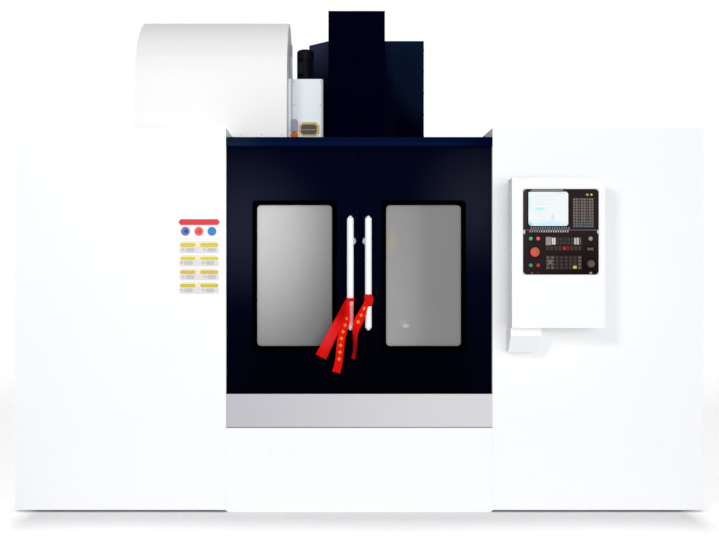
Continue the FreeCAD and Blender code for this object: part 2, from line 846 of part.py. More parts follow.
def bellows(name, start, end, width, height, to_space):
    """Hold one folded cover as a piece of its own."""
    piece = DOCUMENT.addObject("Part::Feature", name)
    piece.Shape = bellows_shape(start, end, width, height, to_space)
    return piece


def make_bellows():
    """Folded covers over the screws and rails of the three axes."""
    gap = size("seat_gap")

    def over_y(across, up, along):
        return FreeCAD.Vector(across, along, size("bed_top") + 2 + up)

    def over_x(across, up, along):
        return FreeCAD.Vector(along, size("spindle_y") + across, size("saddle_top") + 1 + up)

    def over_z(across, out, along):
        return FreeCAD.Vector(across, size("column_front") - 1 - out, along)

    keep("y_bellows", group("y_covers", [
        bellows("y_front_cover", size("y_cover_front") + 6, size("saddle_front") - gap,
                size("y_bellows_width"), size("y_bellows_height"), over_y),
        bellows("y_back_cover", size("saddle_back") + gap, size("column_front"),
                size("y_bellows_width"), size("y_bellows_height"), over_y)]))
    end = size("table_length") / 2 + gap
    reach = size("cover_reach") - 6
    keep("x_bellows", group("x_covers", [
        bellows("x_left_cover", -reach, -end, size("x_bellows_width"), size("x_bellows_height"), over_x),
        bellows("x_right_cover", end, reach, size("x_bellows_width"), size("x_bellows_height"), over_x)]))
    keep("z_bellows", bellows("z_cover", size("z_cover_bottom"), size("head_bottom") + 20 - gap,
                              size("z_bellows_width"), size("z_bellows_depth"), over_z))


# ---------------------------------------------------------------- head and spindle

def make_head():
    """Head casting with its carriage, runners and nut."""
    flat_end = "spindle_y + 170"
    outline = [("head_front + 60", "head_bottom"), ("carriage_front + 1", "head_bottom + 20"),
               ("carriage_front + 1", "head_bottom + head_back_height"), (flat_end, "motor_seat"),
               ("head_front", "motor_seat"), ("head_front", "head_bottom + 60")]
    casting = prism("head_casting", "YZ", outline, "-head_half", "head_half")
    bore = rod("spindle_bore", ("0", "spindle_y", "head_bottom - 1"), "+Z",
               "shaft_radius + running_gap", "shaft_length + 4")
    parts = [cut("head_bored", casting, [bore])]
    parts.append(block("carriage", ("-carriage_width / 2", "carriage_front", "head_bottom + 20"),
                       ("carriage_width / 2", "carriage_back", "head_bottom + head_back_height")))
    for side in (-1, 1):
        outline = runner_outline(f"{side} * z_rail_spacing / 2", "column_front - 10",
                                 "column_front - rail_height - rail_running_gap", "carriage_back - 1")
        parts.append(prism("z_runner", "XY", outline, "head_bottom + 60",
                           "head_bottom + head_back_height - 60"))
    parts.append(nut_block("z_nut", ("-48", "carriage_back - 1", "head_bottom + 300"),
                           ("48", "z_screw_y + 44", "head_bottom + 420"),
                           ("0", "z_screw_y", "head_bottom + 290"), "+Z", "140"))
    keep("spindle_head", fuse("head_body", parts))

    half = "head_cover_width / 2"
    face = "spindle_y - head_cover_reach"
    back = f"{face} + head_cover_depth"
    shell = block("head_cover_box", ("-" + half, face, "head_cover_bottom"),
                  (half, back, "head_cover_top"))
    cavity = block("head_cover_cavity",
                   (f"-{half} + sheet_thickness", f"{face} + sheet_thickness",
                    "head_cover_bottom + sheet_thickness"),
                   (f"{half} - sheet_thickness", f"{back} + 1", "head_cover_top - sheet_thickness"))
    passage = block("head_cover_passage", ("-head_half", "head_front", "head_cover_bottom - 1"),
                    ("head_half", f"{back} + 1", "head_cover_bottom + sheet_thickness + 1"))
    keep("head_cover", cut("head_cover_shell", shell, [cavity, passage]))

    motor_half = "spindle_motor_width / 2"
    case = prism("spindle_motor_case", "XY",
                 box_outline("-" + motor_half, f"spindle_y - {motor_half}",
                             motor_half, f"spindle_y + {motor_half}"),
                 "motor_seat", "motor_seat + spindle_motor_height * 0.8")
    case = soften(case, "30", ALONG_Z, "Chamfer")
    cowl = rod("spindle_motor_cowl", ("0", "spindle_y", "motor_seat + spindle_motor_height * 0.8 - 1"),
               "+Z", "spindle_motor_width * 0.44", "spindle_motor_height * 0.2 + 1")
    keep("spindle_motor", fuse("spindle_motor_body", [case, cowl]))

    shoulder = "nose_length - seat_gap"
    keep("spindle", turned("spindle_rotor", [
        ("taper_mouth_radius", "0"), ("nose_radius", "0"), ("nose_radius", "22"),
        ("spindle_flange_radius", "26"), ("spindle_flange_radius", shoulder),
        ("shaft_radius", shoulder), ("shaft_radius", f"{shoulder} + shaft_length"),
        ("0", f"{shoulder} + shaft_length"), ("0", "taper_depth"),
        ("taper_mouth_radius * 0.6", "taper_depth")], ("0", "spindle_y", "nose_z"), "+Z"))


# ---------------------------------------------------------------- tool changer

def make_tool_changer():
    """Cam box, its motor, sight plate, and the swinging double arm on its shaft."""
    box = prism("cam_box", "XY",
                box_outline("cam_box_left", "-cam_box_front", "-cam_box_right",
                            "-cam_box_front + cam_box_depth"),
                "cam_box_bottom", "cam_box_top")
    box = soften(box, "cam_box_bevel", ALONG_Z, "Chamfer",
                 lambda at: at.y < 0 - size("cam_box_front") + 1)
    bore = rod("arm_shaft_bore", ("arm_x", "spindle_y", "cam_box_bottom - 1"), "+Z",
               "arm_shaft_radius + running_gap", "cam_box_top - cam_box_bottom - 60")
    keep("atc_cam_box", cut("cam_box_bored", box, [bore]))

    radius = "arm_motor_radius"
    height = "arm_motor_height"
    keep("atc_motor", turned("arm_motor", [
        ("0", "0"), ("arm_motor_flange", "0"), ("arm_motor_flange", "14"), (radius, "14"),
        (radius, f"{height} - 26"), (f"{radius} * 0.86", f"{height} - 8"),
        (f"{radius} * 0.5", height), ("0", height)],
        ("arm_x - arm_motor_shift", "spindle_y", "cam_box_top"), "+Z"))

    rim_right = "-cam_box_right - sight_inset"
    rim = prism("sight_rim", "XZ",
                box_outline(f"{rim_right} - sight_width", "sight_bottom", rim_right,
                            "sight_bottom + sight_height"),
                "-cam_box_front - sight_proud", "-cam_box_front")
    rim = soften(rim, "sight_bevel", ALONG_Y, "Chamfer")
    filler_x = "cam_box_left + filler_inset"
    filler_z = "sight_bottom + filler_radius / 4"
    filler = rod("oil_filler", (filler_x, "-cam_box_front", filler_z), "-Y", "filler_radius",
                 "filler_length")
    breather_foot = f"{filler_z} + filler_radius + seat_gap"
    breather = prism("oil_breather", "XZ",
                     box_outline(f"{filler_x} - breather_width / 2", breather_foot,
                                 f"{filler_x} + breather_width / 2",
                                 f"{breather_foot} + breather_height"),
                     "-cam_box_front - breather_depth", "-cam_box_front")
    breather = soften(breather, "breather_round", ALONG_Y)
    keep("atc_sight_window", group("sight_set", [rim, filler, breather]))

    arm_base = "arm_top - arm_thickness"
    shaft_top = "cam_box_top - 70 - arm_drop"
    keep("atc_shaft", turned("arm_shaft", [
        ("0", "0"), ("arm_journal_radius", "0"), ("arm_journal_radius", "arm_thickness + 4"),
        ("arm_shaft_radius", "arm_thickness + 4"), ("arm_shaft_radius", f"{shaft_top} - ({arm_base})"),
        ("0", f"{shaft_top} - ({arm_base})")], ("arm_x", "spindle_y", arm_base), "+Z"))

    parts = [block("arm_bar", ("arm_x - arm_bar_width / 2", "spindle_y - arm_length", arm_base),
                   ("arm_x + arm_bar_width / 2", "spindle_y + arm_length", "arm_top")),
             rod("arm_hub", ("arm_x", "spindle_y", arm_base), "+Z", "arm_hub_radius",
                 "arm_thickness")]
    holes = [rod("arm_hub_bore", ("arm_x", "spindle_y", f"{arm_base} - 1"), "+Z",
                 "arm_journal_radius + running_gap", "arm_thickness + 2")]
    for side in (-1, 1):
        end = f"spindle_y + {side} * arm_length"
        parts.append(rod("jaw", ("arm_x", end, arm_base), "+Z", "jaw_outer_radius", "arm_thickness"))
        holes.append(rod("jaw_seat", ("arm_x", end, f"{arm_base} - 1"), "+Z", "jaw_inner_radius",
                         "arm_thickness + 2"))
        mouth = ["arm_x", f"arm_x + {side} * (jaw_outer_radius + 2)"]
        if side < 0:
            mouth.reverse()
        holes.append(block("jaw_mouth", (mouth[0], f"{end} - jaw_inner_radius", f"{arm_base} - 1"),
                           (mouth[1], f"{end} + jaw_inner_radius", "arm_top + 1")))
    keep("atc_arm", cut("arm_body", fuse("arm_blank", parts), holes))


def make_magazine():
    """Bracket beam, drum cover, tool disc with its pots, and the pot that tips down."""
    beam = block("magazine_beam", ("beam_left", "spindle_y - 120", "beam_bottom"),
                 ("cam_box_left", "column_front + 420", "beam_top"))
    pad = block("magazine_pad", ("cam_box_left - 1", "column_front + 40", "beam_bottom - 80"),
                ("-column_width / 2", "column_front + 380", "beam_top + 80"))
    hollow = block("magazine_beam_core", ("beam_left + 14", "spindle_y + 90", "beam_bottom + 16"),
                   ("cam_box_left - 14", "column_front + 421", "beam_top - 16"))
    stub = rod("disc_stub", ("beam_left + 1", "spindle_y", "drum_height"), "-X", "disc_shaft_radius",
               "beam_left + 1 - disc_x + disc_thickness / 2 + 12")
    carried = cut("magazine_beam_hollow", fuse("magazine_weldment", [beam, pad]), [hollow])
    keep("magazine_bracket", fuse("magazine_bracket_body", [carried, stub]))

    outer = "drum_radius"
    inner = "(drum_radius - sheet_thickness)"

    def tunnel(name, radius, left, right, floor):
        arch = rod(name + "_arch", (left, "spindle_y", "drum_height"), "+X", radius,
                   f"({right}) - ({left})")
        skirt = block(name + "_skirt", (left, f"spindle_y - {radius}", floor),
                      (right, f"spindle_y + {radius}", "drum_height"))
        below = block(name + "_below",
                      (f"{left} - 1", f"spindle_y - {radius} - 1", f"{floor} - drum_radius"),
                      (f"{right} + 1", f"spindle_y + {radius} + 1", floor))
        return cut(name, fuse(name + "_form", [arch, skirt]), [below])

    form = tunnel("drum_form", outer, "-drum_left", "-drum_right", "drum_skirt_bottom")
    room = tunnel("drum_room", inner, "-drum_left + sheet_thickness", "-drum_right - sheet_thickness",
                  "drum_skirt_bottom - 1")
    notch = block("drum_notch", ("beam_left - 5", "spindle_y - 130", "drum_skirt_bottom - 1"),
                  ("-drum_right + 1", "spindle_y + drum_radius + 20", "beam_top"))
    keep("magazine_cover", cut("drum_cover", form, [room, notch]))

    half = "disc_thickness / 2"
    plate = rod("disc_plate", (f"disc_x - {half}", "spindle_y", "drum_height"), "+X", "disc_radius",
                "disc_thickness")
    hub = rod("disc_hub", (f"disc_x + {half} - 1", "spindle_y", "drum_height"), "+X", "disc_hub_radius",
              f"beam_left - disc_x - {half} + 1 - seat_gap")
    count = int(size("pot_count"))
    pots = []
    for index in range(1, count):
        turn = f"({index} * 360 / {count})"
        pots.append(rod(f"pot_{index}", (f"disc_x - {half} + 1", f"spindle_y + pot_circle * sin({turn})",
                                         f"drum_height - pot_circle * cos({turn})"), "-X", "pot_radius",
                        f"pot_reach - {half} + 1"))
    bore = rod("disc_bore", (f"disc_x - {half} - 1", "spindle_y", "drum_height"), "+X",
               "disc_shaft_radius + running_gap", "beam_left - disc_x + 40")
    notch = block("pot_notch_cut", (f"disc_x - {half} - 1", "spindle_y - pot_notch / 2",
                                    "drum_height - disc_radius - 10"),
                  (f"disc_x + {half} + 1", "spindle_y + pot_notch / 2", "pot_z + pot_radius"))
    pin_bore = rod("pot_pin_bore", ("disc_x", "spindle_y - pot_notch / 2 - 14", "pot_z"), "+Y",
                   "pot_pin_radius + running_gap", "pot_notch + 28")
    keep("magazine_disc", cut("disc_body", fuse("disc_blank", [plate, hub] + pots),
                              [bore, notch, pin_bore]))

    cheek = "(pot_notch / 2 - seat_gap)"
    cup = rod("swing_cup", ("disc_x - pot_heel", "spindle_y", "pot_z"), "-X", "pot_radius",
              "pot_reach - pot_heel")
    socket = rod("swing_socket", ("disc_x - pot_reach - 1", "spindle_y", "pot_z"), "+X",
                 "pot_bore_radius", "pot_bore_depth + 1")
    lug = prism("swing_lug", "XZ",
                box_outline("disc_x - pot_heel - 3", "pot_z - 14", "disc_x + 13", "pot_z + 14"),
                f"spindle_y - {cheek}", f"spindle_y + {cheek}")
    pin = rod("swing_pin", ("disc_x", "spindle_y - pot_notch / 2 - 12", "pot_z"), "+Y",
              "pot_pin_radius", "pot_notch + 24")
    cup_bored = cut("swing_cup_bored", cup, [socket])
    keep("swing_pot", fuse("swing_body", [cup_bored, lug, pin]))


# ---------------------------------------------------------------- enclosure

def make_enclosure():
    """Folded sheet wings: fronts, sides, backs and roof strips."""
    edge = "doorway_half"
    sheet = "sheet_thickness"
    front_outline = [(edge, "front + fold_depth"), (edge, "front"), ("half_width", "front"),
                     ("half_width", "front + fold_depth"),
                     (f"half_width - {sheet}", "front + fold_depth"),
                     (f"half_width - {sheet}", f"front + {sheet}"),
                     (f"{edge} + {sheet}", f"front + {sheet}"), (f"{edge} + {sheet}", "front + fold_depth")]
    right = prism("front_right", "XY", front_outline, "wing_ground_gap", f"wing_top - {sheet}")
    side_outline = [("half_width", "front + fold_depth"), ("half_width", "enclosure_back"),
                    ("half_width - fold_depth", "enclosure_back"),
                    ("half_width - fold_depth", f"enclosure_back - {sheet}"),
                    (f"half_width - {sheet}", f"enclosure_back - {sheet}"),
                    (f"half_width - {sheet}", "front + fold_depth")]
    right_side = prism("side_right", "XY", side_outline, "wing_ground_gap", f"wing_top - {sheet}")
    keep("front_panel_left", mirrored("front_left_twin", right))
    keep("front_panel_right", right)
    keep("side_panels", group("side_sheets", [mirrored("side_left_twin", right_side), right_side]))

    parts = []
    inner_edges = {-1: "column_foot_width / 2 + 20", 1: "column_width / 2 + side_cover_width + 20"}
    above_bed = "bed_top + 8"
    beside_bed = "bed_width / 2 + 14"
    for side, inner in inner_edges.items():
        outer = f"{side} * (half_width - fold_depth)"
        outline = [(f"{side} * ({beside_bed})", "wing_ground_gap"), (outer, "wing_ground_gap"),
                   (outer, f"wing_top - {sheet}"), (f"{side} * ({inner})", f"wing_top - {sheet}"),
                   (f"{side} * ({inner})", above_bed), (f"{side} * ({beside_bed})", above_bed)]
        parts.append(prism("back_sheet", "XZ", outline, f"enclosure_back - {sheet}", "enclosure_back"))
    for side in (-1, 1):
        span = [f"{side} * {edge}", f"{side} * half_width"]
        cheek = [f"{side} * {edge}", f"{side} * ({edge} + {sheet})"]
        if side < 0:
            span.reverse()
            cheek.reverse()
        strip = block("roof_sheet", (span[0], "front", f"wing_top - {sheet}"),
                      (span[1], "enclosure_back", "wing_top"))
        if side < 0:
            opening = block("roof_opening", ("-drum_left - 20", "spindle_y - drum_radius - 20",
                                             f"wing_top - {sheet} - 1"),
                            (f"-{edge} + 1", "spindle_y + drum_radius + 20", "wing_top + 1"))
            strip = cut("roof_left", strip, [opening])
        flange = block("roof_cheek", (cheek[0], "front + fold_depth", "header_top"),
                       (cheek[1], "front + wing_cheek_depth", f"wing_top - {sheet} + 1"))
        parts.append(fuse("roof_part", [strip, flange]))
    keep("back_and_roof_panels", group("upper_sheets", parts))


def make_doorway():
    """Header and sill between the wings, with the blades that guide the doors."""
    blade = "guide_blade / 2"
    reach = "header_depth"
    header = [("front", "door_top"), ("front + fold_depth", "door_top"),
              ("front + fold_depth", "door_top + sheet_thickness"),
              ("front + sheet_thickness", "door_top + sheet_thickness"),
              ("front + sheet_thickness", "header_top - sheet_thickness"),
              (f"front + {reach}", "header_top - sheet_thickness"), (f"front + {reach}", "header_top"),
              ("front", "header_top")]
    lip = block("header_lip", ("-guide_half", "door_face", "header_top - sheet_thickness"),
                ("guide_half", f"front + {reach}", "header_top"))
    upper = block("header_blade", ("-guide_half", f"door_middle - {blade}", "door_top - groove_depth + 4"),
                  ("guide_half", f"door_middle + {blade}", "header_top - 1"))
    span = prism("header_channel", "YZ", header, "-doorway_half", "doorway_half")
    keep("door_header", fuse("header_body", [span, lip, upper]))

    sill = [("front", "base_height"), (f"front + {reach} - 20", "base_height"),
            (f"front + {reach}", "base_height + 20"), (f"front + {reach}", "sill_top"),
            ("front", "sill_top")]
    apron = prism("sill_apron", "YZ", sill, "-doorway_half", "doorway_half")
    shelf = block("sill_shelf", ("-guide_half", "door_face", "sill_top - 10"),
                  ("guide_half", f"front + {reach}", "sill_top"))
    lower = block("sill_blade", ("-guide_half", f"door_middle - {blade}", "sill_top - 1"),
                  ("guide_half", f"door_middle + {blade}", "sill_top + groove_depth - 4"))
    keep("door_sill", fuse("sill_body", [apron, shelf, lower]))

    tank = block("tank_box", ("-doorway_half + tank_clearance", "front", "0"),
                 ("doorway_half - tank_clearance", "front + tank_depth", "base_height"))
    grips = []
    for side in (-1, 1):
        middle = f"{side} * doorway_half * 0.6"
        grips.append(block("tank_grip", (f"{middle} - 70", "front - 1", "base_height * 0.68"),
                           (f"{middle} + 70", "front + 25", "base_height * 0.68 + 45")))
    keep("coolant_tank", cut("tank", tank, grips))


def make_door():
    """Right-hand door with its window, seal and handle, and the left-hand twins."""
    gap = "door_gap / 2"
    panel = block("door_panel", (gap, "door_face", "sill_top + seat_gap"),
                  ("doorway_half + door_overlap", "door_back", "door_top - seat_gap"))
    hole = prism("door_hole", "XZ",
                 box_outline("window_left", "window_bottom - seal_width", "window_right",
                             "window_top + seal_width"), "door_face - 1", "door_back + 1")
    hole = soften(hole, "window_corner", ALONG_Y)
    groove = "guide_groove / 2"
    grooves = []
    for name, low, high in (("lower", "sill_top - 1", "sill_top + groove_depth"),
                            ("upper", "door_top - groove_depth", "door_top + 1")):
        grooves.append(block(name + "_groove", ("-1", f"door_middle - {groove}", low),
                             ("doorway_half + door_overlap + 1", f"door_middle + {groove}", high)))
    door = cut("door", panel, [hole] + grooves)

    seal_face = "door_face - 4"
    seal_back = "door_back - 8"
    outer = prism("seal_outer", "XZ",
                  box_outline("window_left", "window_bottom - seal_width", "window_right",
                              "window_top + seal_width"), seal_face, seal_back)
    outer = soften(outer, "window_corner", ALONG_Y)
    inner = prism("seal_inner", "XZ",
                  box_outline("window_inner", "window_bottom", "window_inner + window_width",
                              "window_top"), f"{seal_face} - 1", f"{seal_back} + 1")
    inner = soften(inner, "window_corner", ALONG_Y)
    glass_front = "door_face + 8"
    glass = block("glass", ("window_inner - glass_bite", glass_front, "window_bottom - glass_bite"),
                  ("window_inner + window_width + glass_bite", f"{glass_front} + glass_thickness",
                   "window_top + glass_bite"))
    seal = cut("seal", outer, [inner, glass])

    radius = "handle_radius"
    bevel = "handle_bevel"
    bar = turned("handle_bar", [
        ("0", "0"), (f"{radius} - {bevel}", "0"), (radius, bevel), (radius, f"handle_length - {bevel}"),
        (f"{radius} - {bevel}", "handle_length"), ("0", "handle_length")],
        ("handle_offset", "handle_axis", "handle_bottom"), "+Z")
    bosses = []
    for level, shift, width in (("handle_bottom + boss_inset", "0", "hidden_boss_radius"),
                                ("handle_top - boss_inset", "boss_shift", "boss_radius")):
        bosses.append(rod("handle_boss", (f"handle_offset - {shift}", "door_face", level), "-Y",
                          width, "handle_reach - 6"))
    handle = fuse("handle", [bar] + bosses)
    for side, pieces in (("left", [mirrored("twin_" + item.Name, item)
                                   for item in (door, glass, seal, handle)]),
                         ("right", [door, glass, seal, handle])):
        for part, piece in zip(("door", "window", "window_seal", "handle"), pieces):
            keep(f"{side}_{part}", piece)


def ribbon_tail(name, points, width, depth):
    """Make one hanging strip from its middle line, folded once along its length."""
    left = []
    right = []
    for across, up in points:
        left.append((f"{across} - ({width}) / 2", up))
        right.append((f"{across} + ({width}) / 2", up))
    return prism(name, "XZ", left + right[::-1], f"{depth} - ribbon_thickness", depth)


def make_ribbons():
    """Red cloth ribbons tied round the two handles."""
    front_of_bar = "handle_axis - handle_radius - 3"
    clear = "handle_radius + 0.4"

    def course(steps):
        return [(f"handle_offset * {across}", f"knot_height * {up}") for across, up in steps]

    wide = course([(-1.48, 0.998), (-2.59, 0.873), (-3.78, 0.761), (-4.3, 0.705)])
    narrow = course([(-1.15, 1.0), (-1.63, 0.889), (-2.19, 0.773), (-2.67, 0.641)])
    short = course([(0.96, 1.008), (0.11, 0.896), (-0.26, 0.831), (-0.41, 0.706)])
    for side, sign in (("left", -1), ("right", 1)):
        knot = turned(side + "_knot", [
            (clear, "0"), ("knot_radius", "6"), ("knot_radius + 3", "knot_length / 2"),
            ("knot_radius", "knot_length - 6"), (clear, "knot_length")],
            (f"{sign} * handle_offset", "handle_axis", "knot_height - knot_length / 2"), "+Z")
        if side == "left":
            tails = [ribbon_tail("left_tail_a", wide, "ribbon_width", front_of_bar),
                     ribbon_tail("left_tail_b", narrow, "ribbon_width * 0.8",
                                 f"{front_of_bar} - ribbon_thickness - 1")]
        else:
            tails = [ribbon_tail("right_tail", short, "ribbon_width * 0.66", front_of_bar)]
        keep(side + "_ribbon", fuse(side + "_ribbon_body", [knot] + tails))


def make_notice():
    """Flat notice plate on the left wing."""
    plate = prism("notice", "XZ",
                  box_outline("-notice_left", "notice_bottom", "-notice_left + notice_width",
                              "notice_bottom + notice_height"),
                  "front - notice_thickness", "front")
    keep("notice_plate", soften(plate, "6", ALONG_Y))


# ---------------------------------------------------------------- operator's station

def make_station():
    """Swivelling control box with its face, buttons and knobs, on a wall bracket."""
    bracket = prism("station_bracket", "YZ",
                    [("front", "station_bottom - bracket_height"), ("front", "station_bottom - seat_gap"),
                     ("front - bracket_reach", "station_bottom - seat_gap"),
                     ("front - bracket_reach", "station_bottom - 48"),
                     ("front - bracket_reach + 90", "station_bottom - bracket_height")],
                    "bracket_left", "bracket_left + bracket_width")
    pin = rod("swivel_pin", ("swivel_x", "swivel_y", "station_bottom - 10"), "+Z", "swivel_pin_radius",
              "swivel_pin_length + 10")
    keep("control_bracket", fuse("bracket_body", [bracket, pin]))

    knee = "station_bottom + station_knee"
    right = "station_left + station_width"
    case = prism("station_case", "YZ",
                 [("station_back", "station_bottom"), ("station_back", knee),
                  ("station_front + station_top_depth", "station_top"), ("station_front", "station_top"),
                  ("station_front", "station_bottom")], "station_left", right)
    bevel = prism("station_bevel_tool", "XY",
                  [("station_left - 1", "station_back - station_bevel"),
                   ("station_left + station_bevel", "station_back + 1"),
                   ("station_left - 1", "station_back + 1")],
                  "station_bottom - 1", "station_top + 1")
    socket = rod("swivel_socket", ("swivel_x", "swivel_y", "station_bottom - 1"), "+Z",
                 "swivel_pin_radius + running_gap", "swivel_pin_length + 1.3")
    bay = block("station_bay", ("panel_left + 8", "station_front - 1", "panel_bottom + 8"),
                ("panel_right - 8", "station_front + 34", "panel_top - 8"))
    keep("control_box", cut("station_body", case, [bevel, socket, bay]))

    def at(px, pz):
        """Return a point of the face from its shares of the panel's width and height."""
        return f"panel_left + {px} * panel_width", f"panel_bottom + {pz} * panel_height"

    parts = [block("face_lower", ("panel_left", "panel_face", "panel_bottom"),
                   ("panel_right", "station_front", "panel_split - 3")),
             block("face_upper", ("panel_left", "panel_face", "panel_split + 3"),
                   ("panel_right", "station_front", "panel_top")),
             block("face_backing", ("panel_left + 8", "station_front", "panel_bottom + 8"),
                   ("panel_right - 8", "station_front + 26", "panel_top - 8"))]
    screen_low = at(0.064, 0.568)
    screen_high = at(0.591, 0.953)
    parts.append(block("screen_frame", (screen_low[0], "panel_face - 4", screen_low[1]),
                       (screen_high[0], "panel_face + 1", screen_high[1])))
    key_blocks = ((0.311, 0.293, 7, 3), (0.311, 0.07, 7, 3), (0.662, 0.56, 4, 7))
    for share_x, share_z, columns, rows in key_blocks:
        for column in range(columns):
            for row in range(rows):
                x, z = at(share_x, share_z)
                low = (f"{x} + {column} * key_pitch_x", "panel_face - key_proud",
                       f"{z} + {row} * key_pitch_z")
                high = (f"{low[0]} + key_width", "panel_face + 1", f"{low[2]} + key_height")
                parts.append(block("key", low, high))
    stop = at(0.146, 0.262)
    parts.append(rod("stop_collar", (stop[0], "panel_face + 1", stop[1]), "-Y", "stop_collar_radius",
                     "6"))
    face = fuse("face_blank", parts)

    stem = "button_stem"
    buttons = {"power_on_button": at(0.098, 0.42), "power_off_button": at(0.195, 0.42),
               "cycle_start_button": at(0.098, 0.108), "feed_hold_button": at(0.195, 0.108)}
    bores = []
    for x, z in buttons.values():
        bores.append(rod("button_bore", (x, "panel_face - 1", z), "+Y", "button_radius + 0.1",
                         f"{stem} + 1.5"))
    bores.append(rod("stop_bore", (stop[0], "panel_face - 6", stop[1]), "+Y", "button_radius + 0.1",
                     f"{stem} + 14"))
    knob = at(0.894, 0.125)
    bores.append(rod("knob_bore", (knob[0], "panel_face - 1", knob[1]), "+Y", "6 + running_gap",
                     f"{stem} + 1.5"))
    keep("control_face", cut("face_body", face, bores))

    for node, (x, z) in buttons.items():
        cap = turned(node + "_turned", [
            ("0", "-button_proud"), ("button_radius - 2", "-button_proud"),
            ("button_radius", "-button_proud + 2"), ("button_radius", "6"), ("0", "6")],
            (x, "panel_face", z), "+Y")
        keep(node, cap)
    keep("emergency_stop", turned("stop_turned", [
        ("0", "-stop_proud"), ("stop_radius * 0.7", "-stop_proud + 2"), ("stop_radius", "-stop_proud + 8"),
        ("stop_radius", "-stop_proud + 14"), ("button_radius", "-stop_proud + 17"),
        ("button_radius", "8"), ("0", "8")], (stop[0], "panel_face", stop[1]), "+Y"))
    grip = turned("knob_grip", [
        ("0", "-knob_proud"), ("knob_radius * 0.8", "-knob_proud"), ("knob_radius", "-2"),
        ("knob_radius", "-seat_gap"), ("6", "-seat_gap"), ("6", stem), ("0", stem)],
        (knob[0], "panel_face", knob[1]), "+Y")
    pointer = block("knob_pointer", (f"{knob[0]} - 2", "panel_face - knob_proud - 2", knob[1]),
                    (f"{knob[0]} + 2", "panel_face - knob_proud + 1", f"{knob[1]} + knob_radius * 0.75"))
    keep("feed_override_knob", fuse("knob_body", [grip, pointer]))


def make_cabinet():
    """Electrical cabinet on the column's back, with its door and main switch."""
    half = "cabinet_width / 2"
    wall = "cabinet_wall"
    case = block("cabinet_case", ("-" + half, "cabinet_front", "cabinet_bottom"),
                 (half, "cabinet_mouth", "cabinet_top"))
    room = block("cabinet_room",
                 (f"-{half} + {wall}", f"cabinet_front + {wall}", f"cabinet_bottom + {wall}"),
                 (f"{half} - {wall}", "cabinet_mouth + 1", f"cabinet_top - {wall}"))
    parts = [cut("cabinet_hollow", case, [room])]
    for row, (rise, tall, deep) in enumerate(((0.60, 0.26, 150), (0.38, 0.12, 90), (0.12, 0.18, 120))):
        low = f"cabinet_bottom + {rise} * cabinet_height"
        for column in range(4):
            start = f"-{half} + 60 + {column} * (cabinet_width - 120) / 4"
            parts.append(block(f"drive_{row}_{column}", (start, f"cabinet_front + {wall} - 1", low),
                               (f"{start} + (cabinet_width - 120) / 4 - 24",
                                f"cabinet_front + {wall} + {deep}",
                                f"{low} + {tall} * cabinet_height")))
    for level in (0.08, 0.5, 0.92):
        foot = f"cabinet_bottom + {level} * cabinet_height - 30"
        parts.append(rod("hinge_barrel", ("hinge_x", "hinge_y", foot), "+Z", "7", "60"))
        parts.append(block("hinge_leaf", ("hinge_x - 3", "cabinet_mouth - 40", foot),
                           ("hinge_x", "hinge_y", f"{foot} + 60")))
    keep("electrical_cabinet", fuse("cabinet_body", parts))

    door = block("cabinet_door_sheet",
                 (f"-{half} + 10", "cabinet_mouth + seat_gap", "cabinet_bottom + 4"),
                 (half, "cabinet_mouth + cabinet_door_thickness", "cabinet_top - 4"))
    switch_x = f"{half} - 200"
    switch_z = "cabinet_top - 350"
    bore = rod("switch_bore", (switch_x, "cabinet_mouth - 1", switch_z), "+Y", "6 + running_gap",
               "cabinet_door_thickness + 2")
    keep("cabinet_door", cut("cabinet_door_body", door, [bore]))
    dial = turned("switch_dial", [
        ("0", "-cabinet_door_thickness + 4"), ("6", "-cabinet_door_thickness + 4"), ("6", "seat_gap"),
        ("switch_radius", "seat_gap"), ("switch_radius * 0.9", "switch_proud * 0.45"),
        ("0", "switch_proud * 0.45")],
        (switch_x, "cabinet_mouth + cabinet_door_thickness", switch_z), "+Y")
    lever = block("switch_lever",
                  (f"{switch_x} - 7", "cabinet_mouth + cabinet_door_thickness + switch_proud * 0.4",
                   f"{switch_z} - switch_radius * 0.9"),
                  (f"{switch_x} + 7", "cabinet_mouth + cabinet_door_thickness + switch_proud",
                   f"{switch_z} + switch_radius * 0.9"))
    keep("main_switch", fuse("switch_body", [dial, lever]))


def write_parts():
    """Check every object of the document, then write one file for each sub-part."""
    DOCUMENT.recompute()
    failed = [item.Name for item in DOCUMENT.Objects
              if "Invalid" in item.State or "Error" in item.State]
    for piece in PIECES:
        if piece.Shape.isNull() or not piece.Shape.isValid() or not piece.Shape.Solids:
            failed.append(piece.Label)
    if failed:
        raise RuntimeError("failed objects: " + ", ".join(failed))
    os.makedirs("parts", exist_ok=True)
    for piece in PIECES:
        piece.Shape.exportStep(os.path.join("parts", piece.Label + ".step"))
    print(len(PIECES), "sub-parts written")


make_bed()
make_column()
make_rails()
make_axis_motors()
make_screws()
make_saddle()
make_table()
make_bellows()
make_head()
make_tool_changer()
make_magazine()
make_enclosure()
make_doorway()
make_door()
make_ribbons()
make_notice()
make_station()
make_cabinet()
write_parts()
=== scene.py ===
"""Looks of the machining centre: finishes, trim, cloth, studio and camera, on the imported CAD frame."""

import logging
import math
import random
from dataclasses import dataclass
from enum import Enum
from typing import Callable, Mapping, Sequence

